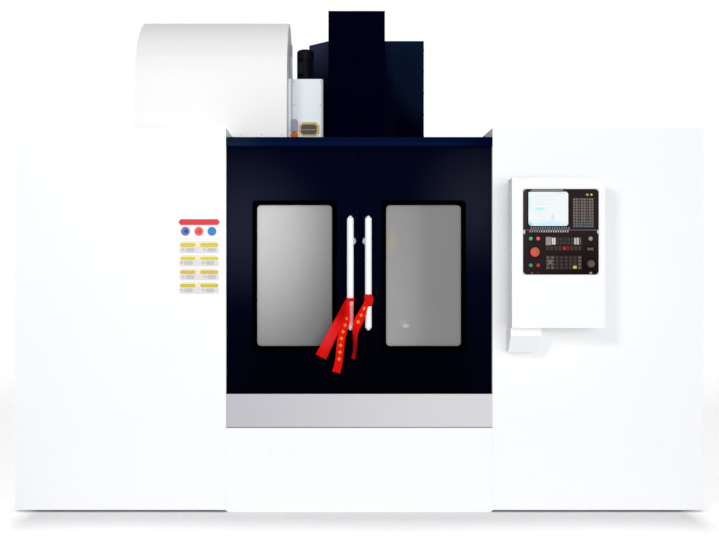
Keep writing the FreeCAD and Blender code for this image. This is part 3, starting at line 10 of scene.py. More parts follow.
import bmesh
import bpy
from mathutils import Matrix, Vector

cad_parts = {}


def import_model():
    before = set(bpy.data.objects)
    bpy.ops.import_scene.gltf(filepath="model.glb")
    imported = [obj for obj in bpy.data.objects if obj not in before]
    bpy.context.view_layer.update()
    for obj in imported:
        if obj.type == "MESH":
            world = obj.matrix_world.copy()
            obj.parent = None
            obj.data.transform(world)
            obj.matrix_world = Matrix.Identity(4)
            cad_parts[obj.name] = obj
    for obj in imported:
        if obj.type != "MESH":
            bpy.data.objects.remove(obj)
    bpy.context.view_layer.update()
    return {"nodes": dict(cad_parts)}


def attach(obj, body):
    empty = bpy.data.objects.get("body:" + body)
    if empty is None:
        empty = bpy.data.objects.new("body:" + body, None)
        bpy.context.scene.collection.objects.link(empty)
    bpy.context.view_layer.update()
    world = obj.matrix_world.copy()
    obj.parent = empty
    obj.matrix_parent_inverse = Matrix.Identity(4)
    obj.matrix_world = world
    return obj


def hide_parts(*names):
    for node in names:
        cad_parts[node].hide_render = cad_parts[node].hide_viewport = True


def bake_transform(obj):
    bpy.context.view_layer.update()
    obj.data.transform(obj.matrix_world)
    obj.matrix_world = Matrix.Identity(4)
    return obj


LOG = logging.getLogger("machining_centre")
MM = 0.001
SIGNS = (-1, 1)
SMOOTH_FOLDS = 180.0
SHARP_FACES = 0.6
AXIS_Y = -300.0
DRUM_Z = 2640.0
CHANGER_X = -335.0
HANDLE_X = 54.0
HANDLE_Y = -1235.0
Point = tuple[float, float, float]
Flat = tuple[float, float]
Outline = Sequence[Flat]


class Axis(Enum):
    """One of the six directions of the frame."""

    RIGHT = (1, 0, 0)
    LEFT = (-1, 0, 0)
    BACK = (0, 1, 0)
    FRONT = (0, -1, 0)
    UP = (0, 0, 1)
    DOWN = (0, 0, -1)


class Surface(Enum):
    """How a finish's surface is worked in its material."""

    SMOOTH = "smooth"
    PEEL = "peel"
    BRUSHED = "brushed"
    CAST = "cast"
    CLOTH = "cloth"
    SATIN_RIBBON = "satin ribbon"


class Side(Enum):
    """Which of a pair of mirrored pieces."""

    LEFT = -1
    RIGHT = 1

    @property
    def word(self) -> str:
        """Its name in the CAD nodes."""
        return self.name.lower()

    @property
    def door(self) -> str:
        """The body that its door's pieces ride on."""
        return self.word + "_door"


@dataclass(frozen=True)
class Shade:
    """A soft patch of another colour on a finish, by its middle and reach in mm. Most finishes use it for
    painted light, shade and reflections; the screen and the stop button use it for their own colours.
    """

    colour: str
    middle: Point
    reach: Point
    amount: float = 1.0


@dataclass(frozen=True)
class Finish:
    """One paint, metal, plastic or cloth, with its colour written as the screen shows it."""

    name: str
    colour: str
    roughness: float = 0.5
    metallic: float = 0.0
    specular: float = 0.5
    coat: float = 0.0
    surface: Surface = Surface.SMOOTH
    relief: float = 0.15
    drift: float = 0.03
    opacity: float = 1.0
    glow: float = 0.0
    shades: tuple[Shade, ...] = ()


def paint(name: str, colour: str, roughness: float = 0.45, **more: object) -> Finish:
    """Return a sprayed paint with a faint orange peel."""
    return Finish(name, colour, roughness, surface=Surface.PEEL, **{"specular": 0.3, "relief": 0.04, **more})


def tones(prefix: str, colours: str, roughness: float, specular: float) -> dict[str, Finish]:
    """Return finishes by tone, from a line of tones that are each followed by a colour."""
    words = colours.split()
    return {tone: Finish(prefix + tone, colour, roughness, specular=specular)
            for tone, colour in zip(words[::2], words[1::2])}


# Painted light: the lit part of the side cover and column, above and right of the head cover's cast shadow;
# the darker base colours stand in for that shadow.
SIDE_COVER_PAINTED_LIGHT = Shade("#0E1A31", (560, 445, 3230), (400, 3000, 780), 4.0)
WHITE = paint("white_paint", "#FAFBFC", drift=0.01)
DRUM_WHITE = paint("drum_paint", "#FCFCFD", 0.5, drift=0.01)
# A slightly darker copy of the drum's paint for the cap sheet: painted shade on the drum's upward-facing
# top.
SHADED_DRUM_CAP = paint("drum_cap_shaded_paint", "#FAFAFA", 0.5, drift=0.01)
COOL_WHITE = paint("cam_box_paint", "#F2FAFF")
# Painted reflection and shade on the doors: lighter patches at the upper left and upper right stand in for
# the studio's reflection in the paint, and the lower part is painted darker where less is reflected.
NAVY = paint("navy_paint", "#030719", 0.46, specular=0.0, drift=0.1, shades=(
    Shade("#02020A", (0, -1180, 800), (1500, 900, 760), 1.5),
    Shade("#1F2233", (-700, -1180, 1720), (560, 900, 560)),
    Shade("#1D1E2C", (725, -1180, 1850), (480, 900, 480))))
COVER_NAVY = paint("cover_navy_paint", "#010214", 0.46, specular=0.0, drift=0.06)
# Its dark base is the head cover's painted shadow; the painted light marks the lit upper corner.
SIDE_NAVY = paint("side_cover_navy_paint", "#010317", 0.46, specular=0.0, drift=0.06, shades=(SIDE_COVER_PAINTED_LIGHT,))
# Painted reflection along the header: lighter at its left end, darker at its right end.
HEADER_NAVY = paint("header_navy_paint", "#05102C", specular=0.0, drift=0.1, shades=(
    Shade("#132030", (-800, -1221, 2230), (330, 300, 300)),
    Shade("#020824", (800, -1221, 2230), (260, 300, 300))))
# Painted reflection at the strip's ends: lighter at the left, darker at the right.
NAVY_STRIP = paint("navy_strip_paint", "#07143C", 0.4, specular=0.0, relief=0.03, shades=(
    Shade("#152340", (-800, -1221, 2210), (300, 300, 300)),
    Shade("#030826", (800, -1221, 2210), (300, 300, 300))))
# Painted light on the column: lighter towards its upper left, on the lamp's side, with the side cover's
# painted light at its upper right.
COLUMN_NAVY = Finish("column_paint", "#03051C", 0.5, specular=0.01, surface=Surface.CAST, relief=0.12,
                     drift=0.08, shades=(Shade("#343A54", (-320, 450, 3190), (340, 900, 470)), SIDE_COVER_PAINTED_LIGHT))
# Painted shading: the sill is darker and more lilac towards its left end.
SILL_GREY = paint("sill_paint", "#D5D5D7", 0.4, relief=0.05, drift=0.01,
                  shades=(Shade("#BEBDC4", (-1000, -1221, 600), (1650, 900, 900)),))
CAST_GREY = Finish("casting_paint", "#C9CCCE", 0.5, surface=Surface.CAST, relief=0.25)
GROUND_STEEL = Finish("ground_steel", "#B4B7BA", 0.24, metallic=1.0, surface=Surface.BRUSHED, relief=0.05)
TABLE_STEEL = Finish("table_iron", "#8E9193", 0.28, metallic=0.9, surface=Surface.BRUSHED, relief=0.04)
BRIGHT_STEEL = Finish("bright_steel", "#CDCFD2", 0.16, metallic=1.0)
ZINC = Finish("zinc_screws", "#A9ABAC", 0.32, metallic=1.0)
COPPER = Finish("copper", "#B5744A", 0.3, metallic=1.0)
BLACK_OXIDE = Finish("black_oxide", "#1B1B1D", 0.4, metallic=0.6)
MOTOR_BLACK = Finish("motor_black", "#131317", 0.42, surface=Surface.CAST, relief=0.15)
CHANGER_BLACK = Finish("changer_motor_black", "#0D0D19", 0.5, specular=0.12, surface=Surface.CAST)
COVER_CLOTH = Finish("cover_cloth", "#1B1C1F", 0.62, surface=Surface.CLOTH, relief=0.3)
# Black rubber for seals and wipers; under the louvres and in the vents it stands in for the shade in their
# openings.
RUBBER_AND_SLOT_SHADE = Finish("seal_rubber", "#010101", 0.7, specular=0.0, surface=Surface.CAST, relief=0.05)
# Painted reflections on the windows: the left one lighter towards its upper left, the right one lighter
# towards its lower left, with two small glints. The right one also has a tan patch.
GLASS = {
    Side.LEFT: Finish("left_window_polycarbonate", "#6C6C6C", 0.16, specular=0.2, opacity=0.9, drift=0.02,
                     shades=(Shade("#D6D6D6", (-630, -1164, 1790), (680, 400, 1180)),)),
    Side.RIGHT: Finish("right_window_polycarbonate", "#878686", 0.16, specular=0.2, opacity=0.9, shades=(
        Shade("#A3A1A1", (157, -1164, 1210), (330, 400, 1500)),
        Shade("#ABA28E", (194, -1164, 1621), (46, 400, 100), 0.8),
        Shade("#A5AAB4", (262, -1164, 1136), (40, 400, 22), 0.7),
        Shade("#C3C9D6", (283, -1164, 1114), (34, 400, 18), 0.95)))}
# Painted reflected light: a pink patch on the left bar's lower part stands in for red light bounced from the
# ribbon.
HANDLE_WHITE = Finish("handle_white", "#FAFAFC", 0.3, specular=0.4, coat=0.2, drift=0.01,
                     shades=(Shade("#E8868A", (-48, -1255, 1190), (60, 90, 130), 1.4),))
BOSS_GREY = Finish("boss_grey", "#C3C7DA", 0.4)
# Painted light and shade on the ribbons: a lighter patch in the plain tail's middle as a highlight, darker
# red in the fold where the tails overlap, and darker towards the right tail's lower end.
RIBBON_RED = Finish("ribbon_red", "#DC0D0A", 0.55, specular=0.05, surface=Surface.SATIN_RIBBON, relief=0.2,
                    drift=0.1, shades=(Shade("#E22E32", (-187, -1263, 1071), (90, 200, 170), 0.8),
                                       Shade("#A20402", (-108, -1268, 1200), (60, 200, 90), 0.8),
                                       Shade("#820806", (-32, -1264, 990), (46, 120, 160))))
RIBBON_MARK = "#E58A2A"
KNOT_RED = Finish("knot_red", "#D8120C", 0.55, specular=0.05, surface=Surface.CLOTH, relief=0.25, drift=0.08)
# Painted reflection and shade on the black face: lighter near its upper left edge where it reflects, darker
# towards its lower right.
PANEL_BLACK = paint("panel_black", "#291F1F", 0.5, specular=0.03, shades=(
    Shade("#190E0E", (1290, -1456, 1450), (330, 300, 260)),
    Shade("#443C3C", (920, -1456, 1880), (90, 300, 420), 0.8)))
PANEL_EDGE = Finish("panel_edge", "#2A2223", specular=0.03)
PANEL_SHEEN = Finish("panel_sheen", "#929798", 0.4, specular=0.2)
# Lavender grey; round the control panel it stands in for the shade at the panel's edge, a painted shade.
RIM_GREY = Finish("rim_grey", "#C6CAD4", 0.45, specular=0.3)
KEY = {**tones("key_", "grey #625A58 dark #423939 blue #5E6A70", 0.6, 0.03),
       **tones("key_", "light #B7B2B4 stone #8E8D8C rose #DCD0D4", 0.5, 0.2),
       "red": Finish("key_red", "#7A1A1E", specular=0.1),
       "typing": Finish("typing_key_grey", "#726A68", 0.6, specular=0.03),
       "yellow": Finish("yellow_plastic", "#D8C12B", 0.4)}
MARK_WHITE = Finish("mark_white", "#8C8583", specular=0.2)
SCREEN_PALE = Finish("screen_pale", "#EBF1F2", 0.3, specular=0.1, drift=0.01, glow=0.05, shades=(
    Shade("#BFE6F5", (1085, -1456, 1700), (210, 300, 56)),
    Shade("#2F86C8", (962, -1456, 1700), (44, 300, 44)),
    Shade("#BFE9F2", (965, -1456, 1840), (30, 300, 90), 0.8),
    Shade("#9FECEA", (1034, -1456, 1804), (58, 300, 14), 0.95),
    Shade("#C9D6D8", (1108, -1456, 1757), (18, 300, 30), 0.7),
    Shade("#D4EEF4", (1150, -1456, 1898), (80, 300, 22), 0.8)))
SCREEN_LINE = Finish("screen_line", "#D4DFE2", 0.3, specular=0.1, glow=0.05)
GREEN = Finish("green_cap", "#3DAA70", 0.35, coat=0.2)
DEEP_GREEN = Finish("deep_green_cap", "#238A50", 0.35, coat=0.2)
RED = Finish("red_cap", "#E8475A", 0.35, coat=0.2)
DEEP_RED = Finish("deep_red_cap", "#A8141C", 0.35, coat=0.2)
STOP_RED = Finish("stop_red", "#C25C36", 0.35, coat=0.1, specular=0.2, shades=(
    Shade("#D2505C", (992, -1480, 1552), (30, 60, 34)),
    Shade("#B2601A", (1022, -1480, 1556), (22, 60, 40), 0.9)))
LAMP_YELLOW = Finish("lamp_yellow", "#C9C23C", 0.35)
SIGHT_BROWN = Finish("sight_brown", "#2C2413", 0.16, coat=0.5)
SIGHT_RIM = Finish("sight_rim", "#C9A85C", 0.4)
BREATHER_LILAC = Finish("breather_lilac", "#A9ABC0", 0.45)
POST_BROWN = Finish("post_brown", "#A8A3A0")
FILLER_ORANGE = Finish("filler_orange", "#DB6A12", 0.36, coat=0.2)
LAMP_GLASS = Finish("lamp_glass", "#E8EEF0", 0.15)
NOTICE_WHITE = Finish("notice_white", "#FBF9F9", specular=0.2, drift=0.01)
NOTICE = tones("notice_", "red #DD4850 coral #E8686A pink #F3DCE2 blue #4489CC violet #6E79B8 "
               "indigo #43469C yellow #DECB50 lemon #E0D43A amber #DBBC62 olive #CCC454 cream #F3E9CF "
               "haze #E2E0E0 grey #C9C6C7", 0.5, 0.1)


def linear(colour: str) -> tuple[float, float, float, float]:
    """Turn a colour as the screen shows it into the shader's linear values.

    Args:
        colour: six hexadecimal digits after a hash sign.

    Returns:
        Red, green, blue and an alpha of one.
    """
    shares = [int(colour[start:start + 2], 16) / 255 for start in (1, 3, 5)]
    values = [share / 12.92 if share <= 0.04045 else ((share + 0.055) / 1.055) ** 2.4 for share in shares]
    return values[0], values[1], values[2], 1.0


def spread(first: float, last: float, count: int) -> list[float]:
    """Return evenly spaced values, both ends included."""
    return [first + (last - first) * step / (count - 1) for step in range(count)]


def around(across: float, up: float, radius: float, count: int, first: float = 0.0) -> list[Flat]:
    """Return evenly spaced points of a circle, from a first angle in degrees."""
    angles = [math.radians(first + 360 * step / count) for step in range(count)]
    return [(across + radius * math.cos(angle), up + radius * math.sin(angle)) for angle in angles]


def arc(radius: float, first: float, last: float, count: int) -> list[Flat]:
    """Return points of the drum's round, as (y, z), between two angles in degrees."""
    angles = [math.radians(angle) for angle in spread(first, last, count)]
    return [(AXIS_Y + radius * math.cos(angle), DRUM_Z + radius * math.sin(angle)) for angle in angles]


def cut_corners(left: float, right: float, low: float, high: float, cut: float) -> list[Flat]:
    """Return a rectangle's outline with its corners cut."""
    return [(left + cut, low), (right - cut, low), (right, low + cut), (right, high - cut),
            (right - cut, high), (left + cut, high), (left, high - cut), (left, low + cut)]


def signed(sign: int, outline: Outline) -> list[Flat]:
    """Return an outline, turned over left to right for the left side."""
    return [(x * sign, y) for x, y in outline]


def smoothed(points: Sequence[Vector], steps: int) -> list[Vector]:
    """Run a smooth curve through points.

    Args:
        points: the points that it passes.
        steps: how many pieces each stretch is cut into.

    Returns:
        Points along the curve.
    """
    padded = [points[0] * 2 - points[1], *points, points[-1] * 2 - points[-2]]
    curve = []
    for first, second, third, fourth in zip(padded, padded[1:], padded[2:], padded[3:]):
        for t in (step / steps for step in range(steps)):
            curve.append(0.5 * (2 * second + (third - first) * t
                                + (2 * first - 5 * second + 4 * third - fourth) * t * t
                                + (3 * second - first - 3 * third + fourth) * t ** 3))
    return [*curve, points[-1].copy()]


class Graph:
    """A node tree in the making."""

    def __init__(self, tree: bpy.types.NodeTree) -> None:
        """Take over a tree."""
        self.tree = tree

    @classmethod
    def of_material(cls, name: str) -> "tuple[Graph, bpy.types.Material, bpy.types.Node]":
        """Start a material.

        Args:
            name: its name.

        Returns:
            Its graph, the material and its shader.
        """
        material = bpy.data.materials.new(name)
        material.use_nodes = True
        return cls(material.node_tree), material, material.node_tree.nodes["Principled BSDF"]

    @classmethod
    def of_group(cls, name: str, **inputs: object) -> "tuple[Graph, Mapping]":
        """Start a node group.

        Args:
            name: its name.
            inputs: the default of each input: a number, a tuple for a vector or a list for a colour.

        Returns:
            Its graph and the sockets that give its inputs.
        """
        tree = bpy.data.node_groups.new(name, "ShaderNodeTree")
        for label, default in inputs.items():
            kind = {float: "Float", tuple: "Vector", list: "Color"}[type(default)]
            socket = tree.interface.new_socket(label, in_out="INPUT", socket_type="NodeSocket" + kind)
            socket.default_value = default
        return cls(tree), tree.nodes.new("NodeGroupInput").outputs

    def close(self, **outputs: tuple[str, bpy.types.NodeSocket]) -> bpy.types.NodeTree:
        """Give the group its outputs.

        Args:
            outputs: the kind of each output, and the socket that feeds it.

        Returns:
            The finished group.
        """
        end = self.tree.nodes.new("NodeGroupOutput")
        for label, (kind, source) in outputs.items():
            self.tree.interface.new_socket(label, in_out="OUTPUT", socket_type="NodeSocket" + kind)
            self.tree.links.new(source, end.inputs[label])
        return self.tree

    def fill(self, node: bpy.types.Node, inputs: Mapping) -> None:
        """Give a node's inputs values or links.

        Args:
            node: the node.
            inputs: a value or a socket for each input.
        """
        for label, value in inputs.items():
            if isinstance(value, bpy.types.NodeSocket):
                self.tree.links.new(value, node.inputs[label])
            else:
                node.inputs[label].default_value = value

    def add(self, kind: str, inputs: Mapping | None = None, **settings: object) -> bpy.types.Node:
        """Add a node.

        Args:
            kind: its type, without the leading word.
            inputs: a value or a socket for each input that isn't left as it is.
            settings: its properties.

        Returns:
            The new node.
        """
        node = self.tree.nodes.new("ShaderNode" + kind)
        for label, value in settings.items():
            setattr(node, label, value)
        self.fill(node, inputs or {})
        return node

    def use(self, effect: bpy.types.NodeTree, **inputs: object) -> Mapping:
        """Add a shared node group and return its outputs."""
        return self.add("Group", inputs, node_tree=effect).outputs

    def math(self, operation: str, *values: object) -> bpy.types.NodeSocket:
        """Add a math node and return what it gives."""
        return self.add("Math", dict(enumerate(values)), operation=operation).outputs[0]

    def mix(self, mask: bpy.types.NodeSocket, below: object, above: object) -> bpy.types.NodeSocket:
        """Lay one colour over another through a mask and return the result."""
        inputs = {"Factor": mask, "A": below, "B": above}
        return self.add("Mix", inputs, data_type="RGBA").outputs["Result"]


class Effects:
    """The shader node groups that several finishes share."""

    def __init__(self) -> None:
        """Build each group once."""
        self.mottle = self._build_mottle()
        self.relief = {
            Surface.PEEL: self._build_relief("orange_peel", 420.0, 2.0),
            Surface.CAST: self._build_relief("cast_skin", 160.0, 5.0),
            Surface.BRUSHED: self._build_relief("ground_lines", 60.0, 3.0, (0.6, 24.0, 24.0)),
            Surface.CLOTH: self._build_weave("coated_weave", 900.0),
            Surface.SATIN_RIBBON: self._build_weave("satin_weave", 1400.0),
        }
        self.diamonds = self._build_diamonds()
        self.spot = self._build_spot()

    @staticmethod
    def _build_mottle() -> bpy.types.NodeTree:
        """Slow drift of a colour and of its gloss over a surface.

        Returns:
            The group, which takes a colour and gives a drifted colour and roughness.
        """
        graph, given = Graph.of_group("mottle", Colour=[0.8, 0.8, 0.8, 1], Drift=0.03, Roughness=0.5,
                                      Scale=3.0)
        where = graph.add("TexCoord").outputs["Object"]
        noise = graph.add("TexNoise", {"Detail": 5.0, "Vector": where, "Scale": given["Scale"]})
        scaled = graph.math("MULTIPLY", graph.math("SUBTRACT", noise.outputs["Fac"], 0.5), given["Drift"])
        bright = graph.math("MULTIPLY_ADD", scaled, 2.0, 1.0)
        tinted = graph.add("HueSaturation", {"Value": bright, "Color": given["Colour"]}).outputs["Color"]
        gloss = graph.add("Math", {0: given["Roughness"], 1: scaled}, operation="ADD", use_clamp=True)
        return graph.close(Colour=("Color", tinted), Roughness=("Float", gloss.outputs[0]))

    @staticmethod
    def _raise(graph: Graph, height: bpy.types.NodeSocket,
               strength: bpy.types.NodeSocket) -> bpy.types.NodeTree:
        """End a group with a bump that turns a height into a normal."""
        bump = graph.add("Bump", {"Distance": 0.0004, "Height": height, "Strength": strength})
        return graph.close(Normal=("Vector", bump.outputs["Normal"]))

    def _build_relief(self, name: str, scale: float, detail: float,
                      stretch: Point = (1.0, 1.0, 1.0)) -> bpy.types.NodeTree:
        """Fine relief from noise, such as orange peel, a cast skin or ground lines.

        Args:
            name: the group's name.
            scale: how many grains lie on a metre.
            detail: how many finer layers the noise has.
            stretch: how far the grains are squeezed along X, Y and Z.

        Returns:
            The group, which takes a strength and gives a normal.
        """
        graph, given = Graph.of_group(name, Strength=0.2)
        where = graph.add("TexCoord").outputs["Object"]
        stretched = graph.add("Mapping", {"Scale": stretch, "Vector": where}).outputs["Vector"]
        noise = graph.add("TexNoise", {"Scale": scale, "Detail": detail, "Vector": stretched})
        return self._raise(graph, noise.outputs["Fac"], given["Strength"])

    def _build_weave(self, name: str, threads: float) -> bpy.types.NodeTree:
        """Crossed threads as relief.

        Args:
            name: the group's name.
            threads: the number of threads in a metre.

        Returns:
            The group, which takes a strength and gives a normal.
        """
        graph, given = Graph.of_group(name, Strength=0.3)
        where = graph.add("TexCoord").outputs["Object"]
        waves = [graph.add("TexWave", {"Scale": threads / 6.3, "Vector": where}, bands_direction=band)
                 for band in ("X", "Z")]
        both = graph.math("ADD", *[wave.outputs["Fac"] for wave in waves])
        return self._raise(graph, both, given["Strength"])

    @staticmethod
    def _build_diamonds() -> bpy.types.NodeTree:
        """A row of small diamonds down the middle of a ribbon, from its flat coordinates.

        Returns:
            The group, which gives a mask that is one inside each diamond.
        """
        graph, given = Graph.of_group("diamond_row", Breadth=0.24, Length=0.3)
        flat = graph.add("UVMap", uv_map="flat").outputs["UV"]
        parts = graph.add("SeparateXYZ", {"Vector": flat}).outputs
        across = graph.math("ABSOLUTE", graph.math("SUBTRACT", parts["X"], 0.5))
        along = graph.math("ABSOLUTE", graph.math("SUBTRACT", graph.math("FRACT", parts["Y"]), 0.5))
        reach = graph.math("ADD", graph.math("DIVIDE", across, given["Breadth"]),
                           graph.math("DIVIDE", along, given["Length"]))
        return graph.close(Mask=("Float", graph.math("LESS_THAN", reach, 1.0)))

    @staticmethod
    def _build_spot() -> bpy.types.NodeTree:
        """A soft-edged patch on a surface.

        Returns:
            The group, which takes a middle and a reach in metres and gives a mask.
        """
        graph, given = Graph.of_group("soft_spot", Middle=(0.0, 0.0, 0.0), Reach=(1.0, 1.0, 1.0), Amount=1.0)
        away = graph.add("TexCoord").outputs["Object"]
        for operation, other in (("SUBTRACT", given["Middle"]), ("DIVIDE", given["Reach"])):
            away = graph.add("VectorMath", {0: away, 1: other}, operation=operation).outputs["Vector"]
        far = graph.add("VectorMath", {0: away}, operation="LENGTH").outputs["Value"]
        falloff = graph.add("MapRange", {"From Min": 1.0, "From Max": 0.0, "Value": far,
                                         "To Max": given["Amount"]}, interpolation_type="SMOOTHSTEP")
        return graph.close(Mask=("Float", falloff.outputs["Result"]))


class Palette:
    """Turns each finish into one Blender material."""

    def __init__(self) -> None:
        """Start with the shared effects and no materials."""
        self.effects = Effects()
        self.made: dict[str, bpy.types.Material] = {}

    def __getitem__(self, finish: Finish) -> bpy.types.Material:
        """Return a finish's material, made at its first use."""
        if finish.name not in self.made:
            self.made[finish.name] = self._make(finish)
        return self.made[finish.name]

    def _make(self, finish: Finish) -> bpy.types.Material:
        """Build the material of one finish.

        Args:
            finish: the paint, metal, plastic or cloth.

        Returns:
            The new material.
        """
        graph, material, shader = Graph.of_material(finish.name)
        ground = graph.use(self.effects.mottle, Colour=linear(finish.colour), Drift=finish.drift,
                          Roughness=finish.roughness)
        colour = ground["Colour"]
        if finish.surface is Surface.SATIN_RIBBON:
            colour = graph.mix(graph.use(self.effects.diamonds)["Mask"], colour, linear(RIBBON_MARK))
        for shade in finish.shades:
            patch = graph.use(self.effects.spot, Middle=[value * MM for value in shade.middle],
                             Reach=[value * MM for value in shade.reach], Amount=shade.amount)
            colour = graph.mix(patch["Mask"], colour, linear(shade.colour))
        inputs = {"Base Color": colour, "Roughness": ground["Roughness"], "Metallic": finish.metallic,
                  "Specular IOR Level": finish.specular, "Coat Weight": finish.coat, "Coat Roughness": 0.12,
                  "Emission Strength": finish.glow}
        if finish.surface is Surface.CLOTH:
            inputs["Sheen Weight"] = 0.05
        if finish.opacity < 1:
            inputs["Alpha"] = finish.opacity
        if finish.glow > 0:
            inputs["Emission Color"] = colour
        if finish.surface in self.effects.relief:
            relief = graph.use(self.effects.relief[finish.surface], Strength=finish.relief)
            inputs["Normal"] = relief["Normal"]
        graph.fill(shader, inputs)
        return material


class Shape:
    """Collects simple worked forms into one mesh, with a finish for each face. Lengths are in mm."""

    def __init__(self, name: str, palette: Palette) -> None:
        """Start an empty mesh.

        Args:
            name: the piece's name.
            palette: where its materials come from.
        """
        self.name = name
        self.palette = palette
        self.work = bmesh.new()
        self.finishes: list[Finish] = []

    def _paint(self, faces: Sequence[bmesh.types.BMFace], finish: Finish) -> None:
        """Give faces a finish.

        Args:
            faces: the faces.
            finish: their finish.
        """
        if finish not in self.finishes:
            self.finishes.append(finish)
        index = self.finishes.index(finish)
        for face in faces:
            face.material_index = index

    def _soften(self, faces: list[bmesh.types.BMFace], bevel: float, finish: Finish) -> None:
        """Bevel the sharp edges of newly made faces.

        Args:
            faces: the new faces.
            bevel: the bevel's width in mm.
            finish: the finish of the bevels.
        """
        edges = dict.fromkeys(edge for face in faces for edge in face.edges
                              if len(edge.link_faces) == 2 and edge.calc_face_angle() > SHARP_FACES)
        made = bmesh.ops.bevel(self.work, geom=list(edges), offset=bevel * MM, segments=2,
                               profile=0.6, affect="EDGES", clamp_overlap=True)
        self._paint(made["faces"], finish)

    def block(self, low: Point, high: Point, finish: Finish, bevel: float = 0.0) -> None:
        """Add a box between two corners.

        Args:
            low: the lowest corner.
            high: the highest corner.
            finish: its finish.
            bevel: the width of its bevelled edges.
        """
        outline = [(low[0], low[1]), (high[0], low[1]), (high[0], high[1]), (low[0], high[1])]
        self.prism(outline, Axis.UP, low[2], high[2], finish, bevel)

    def slab(self, sign: int, near: float, far: float, low: Flat, high: Flat, finish: Finish,
             bevel: float = 0.0) -> None:
        """Add a box on the left or the right of the middle.

        Args:
            sign: 1 for the right side, -1 for the left.
            near: its X at one face, as it is on the right side.
            far: its X at the other face.
            low: its lowest (y, z) corner.
            high: its highest (y, z) corner.
            finish: its finish.
            bevel: the width of its bevelled edges.
        """
        left, right = sorted((sign * near, sign * far))
        self.block((left, *low), (right, *high), finish, bevel)

    def prism(self, outline: Outline, axis: Axis, start: float, end: float, finish: Finish,
              bevel: float = 0.0) -> None:
        """Add a straight-sided form from an outline.

        Args:
            outline: its corners; (x, y) along UP, (x, z) along BACK, (y, z) along RIGHT.
            axis: the direction in which it runs.
            start: where it starts along the axis.
            end: where it ends.
            finish: its finish.
            bevel: the width of its bevelled edges.
        """
        def spot(across: float, up: float, along: float) -> Vector:
            """Place an outline's corner at a distance along the axis."""
            places = {Axis.UP: (across, up, along), Axis.BACK: (across, along, up),
                      Axis.RIGHT: (along, across, up)}
            return Vector(places[axis]) * MM

        near, far = [[self.work.verts.new(spot(a, b, along)) for a, b in outline] for along in (start, end)]
        faces = [self.work.faces.new(near), self.work.faces.new(far[::-1])]
        for here in range(len(near)):
            there = (here + 1) % len(near)
            faces.append(self.work.faces.new((near[here], far[here], far[there], near[there])))
        bmesh.ops.recalc_face_normals(self.work, faces=faces)
        self._paint(faces, finish)
        if bevel > 0:
            self._soften(faces, bevel, finish)

    def lathe(self, foot: Point, axis: Axis, profile: Outline, finish: Finish,
              sides: int = 32) -> None:
        """Add a turned form.

        Args:
            foot: where its axis starts.
            axis: the direction of its axis.
            profile: (radius, distance) points; a closed ring starts and ends off the axis.
            finish: its finish.
            sides: the number of its sides.
        """
        turn = Vector((0, 0, 1)).rotation_difference(Vector(axis.value)).to_matrix()
        rings: list[list[bmesh.types.BMVert]] = []
        for radius, distance in profile:
            ring = []
            for step in range(1 if radius == 0 else sides):
                angle = 2 * math.pi * step / sides
                spot = Vector((radius * math.cos(angle), radius * math.sin(angle), distance))
                ring.append(self.work.verts.new((Vector(foot) + turn @ spot) * MM))
            rings.append(ring)
        faces = []
        for near, far in zip(rings, rings[1:]):
            for here in range(sides):
                there = (here + 1) % sides
                corners = [near[here % len(near)], near[there % len(near)],
                           far[there % len(far)], far[here % len(far)]]
                corners = list(dict.fromkeys(corners))
                if len(corners) > 2:
                    faces.append(self.work.faces.new(corners))
        closed = profile[0] == profile[-1]
        if profile[0][0] > 0 and not closed:
            faces.append(self.work.faces.new(rings[0][::-1]))
        if profile[-1][0] > 0 and not closed:
            faces.append(self.work.faces.new(rings[-1]))
        bmesh.ops.recalc_face_normals(self.work, faces=faces)
        self._paint(faces, finish)

    def rod(self, foot: Point, axis: Axis, radius: float, length: float, finish: Finish,
            bevel: float = 0.0, sides: int = 32) -> None:
        """Add a round bar with bevelled ends.

        Args:
            foot: the middle of its first end.
            axis: the direction in which it runs.
            radius: its radius.
            length: its length.
            finish: its finish.
            bevel: the width of the bevel at each end.
            sides: the number of its sides.
        """
        profile = [(radius, 0.0), (radius, length)]
        if bevel > 0:
            profile = [(radius - bevel, 0.0), (radius, bevel), (radius, length - bevel),
                       (radius - bevel, length)]
        self.lathe(foot, axis, profile, finish, sides)

    def ring(self, foot: Point, axis: Axis, outer: float, inner: float, length: float,
             finish: Finish, sides: int = 36) -> None:
        """Add a tube's short length.

        Args:
            foot: the middle of its first end.
            axis: the direction in which it runs.
            outer: its outer radius.
            inner: its inner radius.
            length: its length.
            finish: its finish.
            sides: the number of its sides.
        """
        profile = [(inner, 0), (outer, 0), (outer, length), (inner, length), (inner, 0)]
        self.lathe(foot, axis, profile, finish, sides)

    def screws(self, spots: Sequence[Point], axis: Axis, radius: float, height: float,
               finish: Finish = ZINC) -> None:
        """Add socket-head screws.

        Args:
            spots: where each head meets the surface.
            axis: the direction in which the heads stand out.
            radius: the heads' radius.
            height: the heads' height.
            finish: the heads' finish.
        """
        for spot in spots:
            self.lathe(spot, axis, [(radius, 0), (radius, height * 0.75), (radius * 0.86, height),
                                    (radius * 0.5, height)], finish, 14)
            tip = tuple(s + a * (height - 0.2) for s, a in zip(spot, axis.value))
            self.lathe(tip, axis, [(radius * 0.5, 0), (radius * 0.5, 0.4), (radius * 0.42, 0.4)],
                       BLACK_OXIDE, 6)

